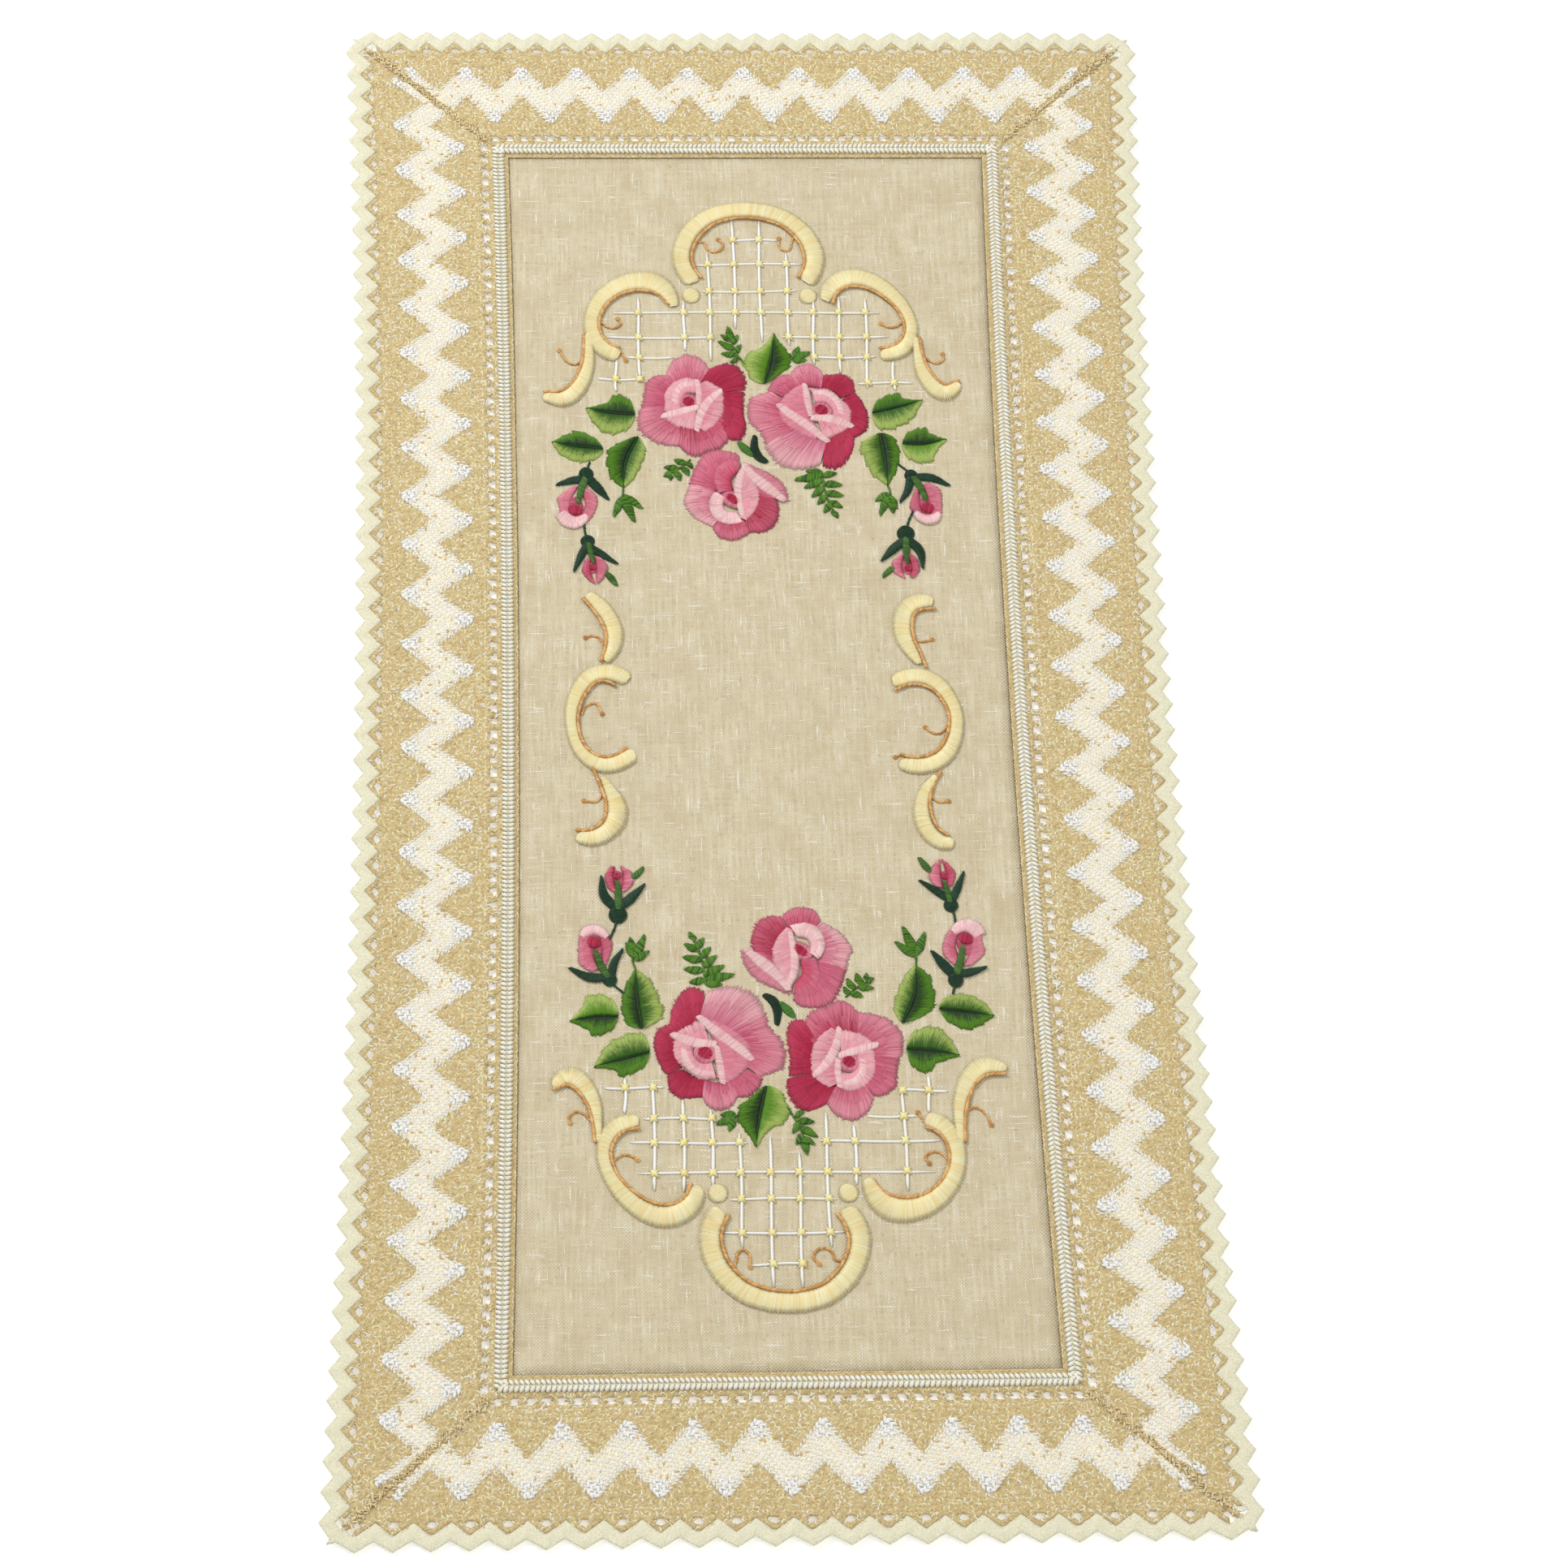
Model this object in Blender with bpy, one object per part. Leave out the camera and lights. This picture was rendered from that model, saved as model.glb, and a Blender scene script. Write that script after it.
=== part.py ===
"""Embroidered linen table runner with a mitred knitted-lace border, lying flat.

Axes: +Y runs along the length (the far end is +Y), +X across the width, +Z up.
The underside lies on z = 0 and the middle of the runner is over the origin.
Lengths are in metres; the embroidery is drawn in millimetres on a panel of
240 x 640 mm and stretched to whatever panel size the constants below give.
"""
import math

import bmesh
import bpy

for old in list(bpy.data.objects):
    bpy.data.objects.remove(old, do_unlink=True)

# ---- driving dimensions -------------------------------------------------------------------
RUNNER_LENGTH = 0.820        # tooth tip to tooth tip, along Y
RUNNER_WIDTH = 0.400         # tooth tip to tooth tip, along X, at the two ends
BORDER_WIDTH = 0.080         # lace from tooth tip to linen edge
WAIST = 0.050                # the long sides draw in by this share at mid-length
GAP = 0.0003                 # clearance between neighbouring pieces

LINEN_THICK = 0.0007
LACE_THICK = 0.0013
TOOTH_PITCH = 0.0140
NEAR_TOOTH_PITCH = 0.0163    # the near edge is worked with fewer, wider teeth
TOOTH_DEPTH = 0.0050
EDGE_DEPTH = 0.0070          # inward depth of the white edging measured on a tooth
EDGE_STEP = 0.0066           # how far its inner points reach further in

ZIGZAG_PITCH = 0.0280
ZIGZAG_OUT = 0.0220          # outer tips, from the tooth tips
ZIGZAG_SWING = 0.0160
ZIGZAG_STROKE = 0.0220       # stroke measured across the border
ZIGZAG_RELIEF = 0.0010

BRAID_IN = 0.0726
BRAID_WIDTH = 0.0050
BRAID_RELIEF = 0.0015
SEAM_WIDTH = 0.0044
SEAM_RELIEF = 0.0012

STITCH_BASE = LINEN_THICK + GAP
PADDED_RELIEF = 0.0020       # padded satin scrolls
ROSE_RELIEF = 0.0017
LEAF_RELIEF = 0.0010
TRELLIS_RELIEF = 0.0006
TRELLIS_THREAD = 1.3         # mm on the drawing
LAYER_STEP = 0.000015        # between the overlapping parts of one motif piece

HALF_L = RUNNER_LENGTH / 2
HALF_W = RUNNER_WIDTH / 2
PANEL_W = RUNNER_WIDTH - 2 * BORDER_WIDTH
PANEL_L = RUNNER_LENGTH - 2 * BORDER_WIDTH
ACROSS = PANEL_W / 240.0     # metres per drawn millimetre
ALONG = PANEL_L / 640.0

# ---- materials ----------------------------------------------------------------------------
COLOURS = {
    "linen": (0.55, 0.46, 0.34), "lace_thread": (0.60, 0.44, 0.25),
    "cream_thread": (0.84, 0.78, 0.66), "white_edging": (0.80, 0.79, 0.66),
    "scroll_thread": (0.80, 0.66, 0.36), "trellis_thread": (0.82, 0.77, 0.60),
    "rose_thread": (0.60, 0.15, 0.24), "leaf_thread": (0.11, 0.24, 0.05),
}


def thread(slot):
    made = bpy.data.materials.get(slot)
    if made is None:
        made = bpy.data.materials.new(slot)
        made.use_nodes = True
        shader = made.node_tree.nodes["Principled BSDF"]
        shader.inputs["Base Color"].default_value = (*COLOURS[slot], 1.0)
        shader.inputs["Roughness"].default_value = 0.85
        made.diffuse_color = (*COLOURS[slot], 1.0)
    return made


# ---- building blocks ----------------------------------------------------------------------
def waisted(x, y):
    return x * (1.0 - WAIST * (1.0 - (y / HALF_L) ** 2)), y


def solid(name, verts, faces, slot):
    """One closed piece; the waist is applied here, so every piece follows it."""
    mesh = bpy.data.meshes.new(name)
    mesh.from_pydata([(*waisted(x, y), z) for x, y, z in verts], [], faces)
    work = bmesh.new()
    work.from_mesh(mesh)
    bmesh.ops.recalc_face_normals(work, faces=work.faces)
    bmesh.ops.triangulate(work, faces=work.faces)
    work.to_mesh(mesh)
    work.free()
    mesh.materials.append(thread(slot))
    made = bpy.data.objects.new(name, mesh)
    bpy.context.scene.collection.objects.link(made)
    return made


def slab(name, outline, low, high, slot):
    n = len(outline)
    verts = [(x, y, low) for x, y in outline] + [(x, y, high) for x, y in outline]
    faces = [tuple(range(n))[::-1], tuple(range(n, 2 * n))]
    faces += [(k, (k + 1) % n, n + (k + 1) % n, n + k) for k in range(n)]
    return solid(name, verts, faces, slot)


def dome(name, outline, low, edge, high, slot, inner=0.55):
    """A low cushion over an outline that its middle can see all of."""
    n = len(outline)
    cx = sum(p[0] for p in outline) / n
    cy = sum(p[1] for p in outline) / n
    verts = [(x, y, low) for x, y in outline] + [(x, y, edge) for x, y in outline]
    verts += [(cx + (x - cx) * inner, cy + (y - cy) * inner, high) for x, y in outline]
    faces = [tuple(range(n))[::-1], tuple(range(2 * n, 3 * n))]
    for k in range(n):
        j = (k + 1) % n
        faces.append((k, j, n + j, n + k))
        faces.append((n + k, n + j, 2 * n + j, 2 * n + k))
    return solid(name, verts, faces, slot)


def curve_through(points, steps):
    """Catmull-Rom curve through points of any dimension, steps spans in all."""
    last = len(points) - 1
    out = []
    for k in range(steps + 1):
        t = last * k / steps
        i = min(int(t), last - 1)
        f = t - i
        a, b, c, d = (points[max(i - 1, 0)], points[i], points[i + 1], points[min(i + 2, last)])
        out.append(tuple(0.5 * (2 * q + (r - p) * f + (2 * p - 5 * q + 4 * r - s) * f * f
                                + (3 * q - p - 3 * r + s) * f ** 3)
                         for p, q, r, s in zip(a, b, c, d)))
    return out


PADDED = ((-0.5, 0.0), (0.5, 0.0), (0.5, 0.40), (0.24, 1.0), (-0.24, 1.0), (-0.5, 0.40))
FLAT = ((-0.5, 0.0), (0.5, 0.0), (0.3, 1.0), (-0.3, 1.0))


def ridge(name, path, low, high, slot, steps=10, section=PADDED):
    """A padded cord: path holds (x, y, width) and the ends are rounded off."""
    spots = curve_through(path, steps)
    verts, faces, n = [], [], len(section)
    rows = []
    for k, (x, y, width) in enumerate(spots):
        x0, y0, _ = spots[max(k - 1, 0)]
        x1, y1, _ = spots[min(k + 1, steps)]
        reach = math.hypot(x1 - x0, y1 - y0)
        tx, ty = (x1 - x0) / reach, (y1 - y0) / reach
        if section is FLAT:
            rows.append((x, y, tx, ty, width, 1.0))
        elif k == 0:
            rows.append((x, y, tx, ty, width * 0.55, 0.55))
            rows.append((x + tx * width * 0.22, y + ty * width * 0.22, tx, ty, width, 1.0))
        elif k == steps:
            rows.append((x - tx * width * 0.22, y - ty * width * 0.22, tx, ty, width, 1.0))
            rows.append((x, y, tx, ty, width * 0.55, 0.55))
        else:
            rows.append((x, y, tx, ty, width, 1.0))
    for x, y, tx, ty, width, share in rows:
        for side, up in section:
            verts.append((x - ty * side * width, y + tx * side * width,
                          low + (high - low) * up * share))
    for r in range(len(rows) - 1):
        for k in range(n):
            j = (k + 1) % n
            faces.append((r * n + k, r * n + j, (r + 1) * n + j, (r + 1) * n + k))
    faces.append(tuple(range(n))[::-1])
    faces.append(tuple((len(rows) - 1) * n + k for k in range(n)))
    return solid(name, verts, faces, slot)


def merged(name, pieces):
    """Join overlapping pieces into one closed body. Each piece sits a hair above the one
    before, so that no two of their faces lie in one plane."""
    first = pieces[0]
    for k, other in enumerate(pieces[1:], start=1):
        for v in other.data.vertices:
            v.co.z += k * LAYER_STEP
        step = first.modifiers.new("join", "BOOLEAN")
        step.operation = "UNION"
        step.solver = "EXACT"
        step.object = other
    bpy.context.view_layer.update()
    shape = bpy.data.meshes.new_from_object(
        first.evaluated_get(bpy.context.evaluated_depsgraph_get()))
    for other in pieces[1:]:
        bpy.data.objects.remove(other, do_unlink=True)
    first.modifiers.clear()
    work = bmesh.new()
    work.from_mesh(shape)
    bmesh.ops.remove_doubles(work, verts=work.verts, dist=0.0000002)
    bmesh.ops.triangulate(work, faces=work.faces)
    work.to_mesh(shape)
    work.free()
    first.data = shape
    first.name = name
    return first


def drawn(points, turned):
    """From the drawing (mm) to the runner; the near motif is the far one turned round."""
    sign = -1.0 if turned else 1.0
    return [(sign * p[0] * ACROSS, sign * p[1] * ALONG) for p in points]


def drawn_path(points, turned):
    sign = -1.0 if turned else 1.0
    return [(sign * u * ACROSS, sign * v * ALONG, w * ACROSS) for u, v, w in points]


# ---- linen panel --------------------------------------------------------------------------
edge_y = [(-0.5 + k / 10) * (PANEL_L - GAP) for k in range(11)]
px = (PANEL_W - GAP) / 2
slab("linen_panel", [(px, y) for y in edge_y] + [(-px, y) for y in reversed(edge_y)],
     0.0, LINEN_THICK, "linen")


# ---- lace border, one strip a side, mitred at the corners ---------------------------------
def wave(length, pitch, low, swing, tip_in_middle):
    """Zigzag line of (place along the side, distance from the tooth tips)."""
    count = 2 * math.ceil(length / pitch / 2 + 1)
    points = []
    for k in range(-2 * count, 2 * count + 1):
        high = (k % 2 == 0) if tip_in_middle else (k % 2 == 1)
        points.append((k * pitch / 2, low + (swing if high else 0.0)))
    return points


def mitred(chain, half, clear):
    """The part of a line between the two mitres."""
    def room(p):
        return half - p[1] - clear - abs(p[0])
    kept = []
    for a, b in zip(chain, chain[1:]):
        ra, rb = room(a), room(b)
        if ra >= 0:
            kept.append(a)
        if ra * rb < 0:
            f = ra / (ra - rb)
            kept.append((a[0] + (b[0] - a[0]) * f, a[1] + (b[1] - a[1]) * f))
    if room(chain[-1]) >= 0:
        kept.append(chain[-1])
    return kept


def straight(half, depth, clear, parts=10):
    reach = half - depth - clear
    return [(-reach + 2 * reach * k / parts, depth) for k in range(parts + 1)]


def on_side(side, chain):
    turn = {"far": lambda s, d: (s, HALF_L - d), "near": lambda s, d: (-s, -HALF_L + d),
            "right": lambda s, d: (HALF_W - d, -s), "left": lambda s, d: (-HALF_W + d, s)}[side]
    return [turn(s, d) for s, d in chain]


for side in ("far", "near", "left", "right"):
    half = HALF_W if side in ("far", "near") else HALF_L
    teeth = max(6, round(2 * half / (NEAR_TOOTH_PITCH if side == "near" else TOOTH_PITCH)))
    pitch = 2 * half / teeth
    inner_line = wave(2 * half, pitch, EDGE_DEPTH, EDGE_STEP, teeth % 2 == 1)
    apart = GAP * 1.5
    seam_clear = GAP * 0.8
    ground = mitred(inner_line, half, seam_clear)
    ground += list(reversed(straight(half, BORDER_WIDTH - GAP / 2, seam_clear)))
    slab("lace_ground_" + side, on_side(side, ground), 0.0, LACE_THICK, "lace_thread")

    tips = wave(2 * half, pitch, 0.0, TOOTH_DEPTH, teeth % 2 == 1)
    white = mitred(tips, half, seam_clear)
    white += list(reversed(mitred([(s, d - apart) for s, d in inner_line], half, seam_clear)))
    slab("picot_edge_" + side, on_side(side, white), 0.0, LACE_THICK, "white_edging")

    clear = SEAM_WIDTH * 0.71 + GAP
    tip_in = side in ("left", "right")
    zig = mitred(wave(2 * half, ZIGZAG_PITCH, ZIGZAG_OUT, ZIGZAG_SWING, tip_in), half, clear)
    zig += list(reversed(mitred(wave(2 * half, ZIGZAG_PITCH, ZIGZAG_OUT + ZIGZAG_STROKE,
                                     ZIGZAG_SWING, tip_in), half, clear)))
    base = LACE_THICK + GAP
    slab("zigzag_band_" + side, on_side(side, zig), base, base + ZIGZAG_RELIEF, "cream_thread")

    spine = BRAID_IN + BRAID_WIDTH / 2
    reach = half - spine - GAP * 2 - BRAID_WIDTH * 0.5
    run = [(-reach + 2 * reach * k / 10, spine) for k in range(11)]
    ridge("braid_" + side, [(*p, BRAID_WIDTH) for p in on_side(side, run)], base,
          base + BRAID_RELIEF, "cream_thread")

for name, sx, sy in (("far_left", -1, 1), ("far_right", 1, 1),
                     ("near_left", -1, -1), ("near_right", 1, -1)):
    start, end = BRAID_IN - SEAM_WIDTH * 0.9, 0.010
    path = [(sx * (HALF_W - d), sy * (HALF_L - d), SEAM_WIDTH)
            for d in (start, start * 0.66 + end * 0.34, start * 0.33 + end * 0.67, end)]
    ridge("mitre_seam_" + name, path, LACE_THICK + GAP, LACE_THICK + GAP + SEAM_RELIEF,
          "lace_thread", steps=4)

# ---- embroidery, drawn for the far motif --------------------------------------------------
PAD = STITCH_BASE + PADDED_RELIEF
PETAL = STITCH_BASE + ROSE_RELIEF
LEAF = STITCH_BASE + LEAF_RELIEF
OVER = PETAL + 0.0003

ARCH = [(-28.5, 244.5, 10), (-33.7, 254, 9.6), (-34, 263, 9.4), (-29.5, 274.5, 9.4),
        (-19.5, 284, 9.4), (-8, 287.6, 9.4), (0, 288, 9.4), (10, 286.6, 9.4), (20, 282, 9.6),
        (29, 272.5, 9.8), (33.2, 260, 10), (31.5, 250.5, 10), (28, 244.5, 10)]
SCROLL_LEFT = [(-39, 230.5, 6), (-42, 238.5, 10), (-48, 244.5, 12), (-57, 245.6, 11),
               (-67, 242.3, 10), (-76, 234, 8.6), (-80.4, 223, 7.8), (-79.5, 213, 8.4),
               (-74, 205, 9), (-67, 202.2, 8.5)]
TAIL_LEFT = [(-82.5, 214, 3.4), (-82.2, 205, 5), (-83, 195, 6.5), (-87.5, 184, 8.5),
             (-95, 177, 9), (-105.5, 178.4, 5)]
SCROLL_RIGHT = [(37.5, 233.5, 6.5), (41, 242, 9.5), (50, 247.4, 10.4), (60, 246, 9.6),
                (70, 238.6, 8.6), (77.7, 228, 6.8), (80.6, 217, 6.6), (77.5, 207, 8),
                (71, 203, 8), (64.5, 202, 6.5)]
TAIL_RIGHT = [(82.5, 212, 2.8), (82.9, 204, 4), (84.7, 193, 6.8), (90, 183.5, 9),
              (96.5, 179.6, 9), (103.5, 184.8, 5)]
ROSE_LEFT = [(-22, 194), (-26.5, 200.6), (-33, 202.8), (-40, 200), (-43.5, 191.6), (-49.5, 190),
             (-54.5, 186), (-55.2, 176), (-59, 166), (-57.6, 158), (-51, 152.4), (-42, 150.5),
             (-37, 148.8), (-31, 149.4), (-24.5, 149.6), (-16.5, 151.6), (-12, 152.6),
             (-7.6, 153.4), (-5.8, 160), (-6, 170), (-5, 180), (-3.4, 187), (-7, 196),
             (-14, 197.8)]
ROSE_RIGHT = [(33.5, 190.6), (33, 194.6), (28, 197.4), (21.5, 195), (18.5, 190.6), (9.5, 187.5),
              (6.4, 181.4), (0.2, 178.4), (-4.4, 170), (-3, 162.6), (2.2, 157), (4.4, 147),
              (10.6, 139), (19.5, 136.2), (31.5, 138.6), (37.5, 136), (44, 138.5), (49, 149),
              (49.6, 154.2), (56.6, 158), (57, 168), (54.4, 175), (51.2, 179), (50.5, 187.4),
              (45, 191.6)]
ROSE_MIDDLE = [(-8, 144), (-14, 147.6), (-23, 148), (-30, 141.4), (-34, 131), (-37.8, 119.4),
               (-33.5, 110), (-24, 104), (-20.6, 98.6), (-13.5, 96.6), (-6.5, 99.4), (2, 101),
               (8.5, 104.6), (10.8, 112), (16.4, 117.6), (14.5, 126), (9, 133.4), (0.5, 138.2)]
CENTRE_LEAF = [(5, 184.8), (-0.5, 187.5), (-3, 192), (-5.4, 199), (-1, 204), (5, 206.6),
               (11, 215), (15.4, 207.6), (19.2, 202), (18.4, 195.4), (12.6, 190.6)]
LEAVES_LEFT = {
    "upper": [(-61.4, 168), (-61.6, 175), (-65, 179), (-70.6, 179.6), (-73, 175.4), (-84.6, 171.6),
              (-82, 164.6), (-75, 157.4), (-67, 158), (-62.4, 161.4)],
    "outer": [(-76, 148.4), (-80, 154.6), (-88.6, 159), (-95, 157), (-102, 152.4), (-98, 145.8),
              (-90, 141.4), (-82, 142), (-77.6, 144.4)],
    "lower": [(-58.6, 156), (-55, 148), (-57.6, 139), (-62, 130.6), (-66.6, 126.6), (-72.6, 131.6),
              (-74.8, 141), (-73.6, 148.4), (-66, 152.6)],
}
LEAVES_RIGHT = {
    "upper": [(58.8, 168), (61.4, 176), (71.6, 180.6), (75.4, 176.8), (84.8, 175.8), (80, 165.6),
              (71.6, 160.2), (64, 158.6), (60.4, 161.4)],
    "outer": [(73, 150.6), (76.4, 157.6), (84.8, 160.6), (87, 157), (96, 153), (90.4, 146.4),
              (87.6, 140), (79.4, 140.2), (74.4, 144.4)],
    "lower": [(62.4, 157.4), (69.4, 154.8), (72.2, 146), (70, 135.6), (65, 127.2), (58, 133),
              (53.8, 142.6), (52, 151)],
}
SIDE_SCROLLS = {
    "left_far": [(-85.5, 67.6, 6), (-79.5, 61.5, 8.2), (-74.6, 54, 8.6), (-72.4, 46, 8.8),
                 (-73.6, 38, 7), (-77.4, 31.4, 4)],
    "left_middle": [(-66.4, 21.4, 8), (-74, 25.4, 9), (-84, 24, 8.5), (-91, 15.4, 7.6),
                    (-94.2, 5, 6.4), (-94, -5, 6), (-91.4, -14, 6.4), (-86, -20.6, 7.4),
                    (-78.5, -23.8, 8), (-71, -22, 8.4), (-64, -17.6, 8)],
    "left_near": [(-79.6, -30.2, 3), (-76, -37, 6.4), (-73, -44, 9.4), (-73, -51.4, 10.4),
                  (-77.4, -58, 9), (-84.4, -61.4, 8.2), (-92.4, -60.6, 6)],
    "right_far": [(84.6, 62.6, 7), (77, 62.7, 8.6), (71.4, 58.6, 9), (69, 51.6, 9.4),
                  (69.4, 43, 9), (72.8, 35.6, 7), (76.4, 29, 3.6)],
    "right_middle": [(63, 19.4, 8), (72, 22.6, 8.6), (80.4, 21.4, 8.4), (87.4, 15.4, 8),
                     (92.2, 6, 7), (93.2, -3, 7), (91, -13, 7.4), (86, -20.6, 8),
                     (78, -24.8, 8.4), (70, -25, 8), (64.4, -23.4, 6.4)],
    "right_near": [(81.4, -30.8, 3), (76, -38, 6), (73.6, -46, 7.6), (74.2, -55, 8.6),
                   (78.2, -62, 8.4), (83.4, -65.4, 7.4), (88, -64.8, 5.8)],
}
# trellis threads: (place, from, to), uprights then crossbars
UPRIGHTS = [(-69, 181.5, 197), (-57, 189, 236), (-34, 205, 231), (-21, 200.5, 262),
            (-8, 220.5, 280), (5, 212, 280), (18.5, 210, 262), (31, 199.5, 231),
            (44, 193.5, 235.5), (57.5, 184, 235), (70.5, 182.5, 198)]
CROSSBARS = [(270, -8.7, 14.5), (255.5, -26.5, 26.5), (239.5, -23.6, 23.6), (227, -68.5, 63.5),
             (212.5, -71, -18.5), (212.5, 15.5, 67.5), (200.8, -61, -40.5), (200.8, 31, 60.5), (188.4, -77, -57),
             (185.8, 53.5, 79)]


def trellis(name, turned):
    """Crossing threads as one flat grid of filled cells."""
    bars = []
    for u, low, high in UPRIGHTS:
        bars.append((u - TRELLIS_THREAD / 2, u + TRELLIS_THREAD / 2, low, high))
    for v, low, high in CROSSBARS:
        bars.append((low, high, v - TRELLIS_THREAD / 2, v + TRELLIS_THREAD / 2))
    us = sorted({b[0] for b in bars} | {b[1] for b in bars})
    vs = sorted({b[2] for b in bars} | {b[3] for b in bars})
    filled = {(i, j) for i in range(len(us) - 1) for j in range(len(vs) - 1)
              if any(b[0] <= (us[i] + us[i + 1]) / 2 <= b[1]
                     and b[2] <= (vs[j] + vs[j + 1]) / 2 <= b[3] for b in bars)}
    low, high = STITCH_BASE, STITCH_BASE + TRELLIS_RELIEF
    index, verts, faces = {}, [], []

    def corner(i, j, top):
        if (i, j, top) not in index:
            (x, y), = drawn([(us[i], vs[j])], turned)
            index[(i, j, top)] = len(verts)
            verts.append((x, y, high if top else low))
        return index[(i, j, top)]

    for i, j in sorted(filled):
        for top in (0, 1):
            faces.append((corner(i, j, top), corner(i + 1, j, top),
                          corner(i + 1, j + 1, top), corner(i, j + 1, top)))
        for di, dj, a, b in ((-1, 0, (0, 0), (0, 1)), (1, 0, (1, 0), (1, 1)),
                             (0, -1, (0, 0), (1, 0)), (0, 1, (0, 1), (1, 1))):
            if (i + di, j + dj) not in filled:
                faces.append((corner(i + a[0], j + a[1], 0), corner(i + b[0], j + b[1], 0),
                              corner(i + b[0], j + b[1], 1), corner(i + a[0], j + a[1], 1)))
    made = solid(name, verts, faces, "trellis_thread")
    flat = bmesh.new()
    flat.from_mesh(made.data)
    bmesh.ops.dissolve_limit(flat, angle_limit=0.02, verts=flat.verts, edges=flat.edges)
    bmesh.ops.triangulate(flat, faces=flat.faces)
    flat.to_mesh(made.data)
    flat.free()
    return made


def frond(name, stem, leaflets, turned, thick=1.6):
    """A little fern as one outline: out along one side of the stem, back along the other.

    leaflets holds (share of the stem, side, length, width, lean towards the tip)."""
    line = curve_through(stem, 12)
    heading = []
    for k in range(len(line)):
        a, b = line[max(k - 1, 0)], line[min(k + 1, len(line) - 1)]
        reach = math.hypot(b[0] - a[0], b[1] - a[1])
        heading.append(((b[0] - a[0]) / reach, (b[1] - a[1]) / reach))

    def at(share):
        t = share * (len(line) - 1)
        i = min(int(t), len(line) - 2)
        f = t - i
        p = tuple(line[i][n] + (line[i + 1][n] - line[i][n]) * f for n in (0, 1))
        return p, heading[i]

    def edge(side):
        points = []
        rows = sorted(row for row in leaflets if row[1] == side)
        for share, _, length, width, lean in rows:
            (x, y), (tx, ty) = at(share)
            nx, ny = -ty * side, tx * side
            ox, oy = nx * math.cos(lean) + tx * math.sin(lean), ny * math.cos(lean) + ty * math.sin(lean)
            wx, wy = -oy * side, ox * side
            if wx * tx + wy * ty < 0:
                wx, wy = -wx, -wy
            bx, by = x + nx * thick / 2, y + ny * thick / 2
            points += [(bx - tx * width * 0.36, by - ty * width * 0.36),
                       (bx + ox * length * 0.55 - wx * width / 2, by + oy * length * 0.55 - wy * width / 2),
                       (bx + ox * length, by + oy * length),
                       (bx + ox * length * 0.55 + wx * width / 2, by + oy * length * 0.55 + wy * width / 2),
                       (bx + tx * width * 0.36, by + ty * width * 0.36)]
        return points

    (sx, sy), (tx, ty) = at(0.0)
    (ex, ey), (ux, uy) = at(1.0)
    outline = [(sx + ty * thick / 2, sy - tx * thick / 2)] + edge(-1)
    outline += [(ex + uy * thick * 0.4, ey - ux * thick * 0.4), (ex + ux * 1.4, ey + uy * 1.4),
                (ex - uy * thick * 0.4, ey + ux * thick * 0.4)]
    outline += list(reversed(edge(1))) + [(sx - ty * thick / 2, sy + tx * thick / 2)]
    return slab(name, drawn(outline, turned), STITCH_BASE, LEAF - 0.0001, "leaf_thread")


def disc(name, u, v, ru, rv, turned, high, slot, count=10):
    rim = [(u + ru * math.cos(2 * math.pi * k / count), v + rv * math.sin(2 * math.pi * k / count))
           for k in range(count)]
    return dome(name, drawn(rim, turned), STITCH_BASE, STITCH_BASE + (high - STITCH_BASE) * 0.45,
                high, slot)


def leaf(name, outline, turned):
    return dome(name, drawn(outline, turned), STITCH_BASE, STITCH_BASE + LEAF_RELIEF * 0.5, LEAF,
                "leaf_thread")


def stalk(name, path, turned, high=None):
    return ridge(name, drawn_path(path, turned), STITCH_BASE, high or LEAF - 0.0002,
                 "leaf_thread", steps=len(path) - 1, section=FLAT)


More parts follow.
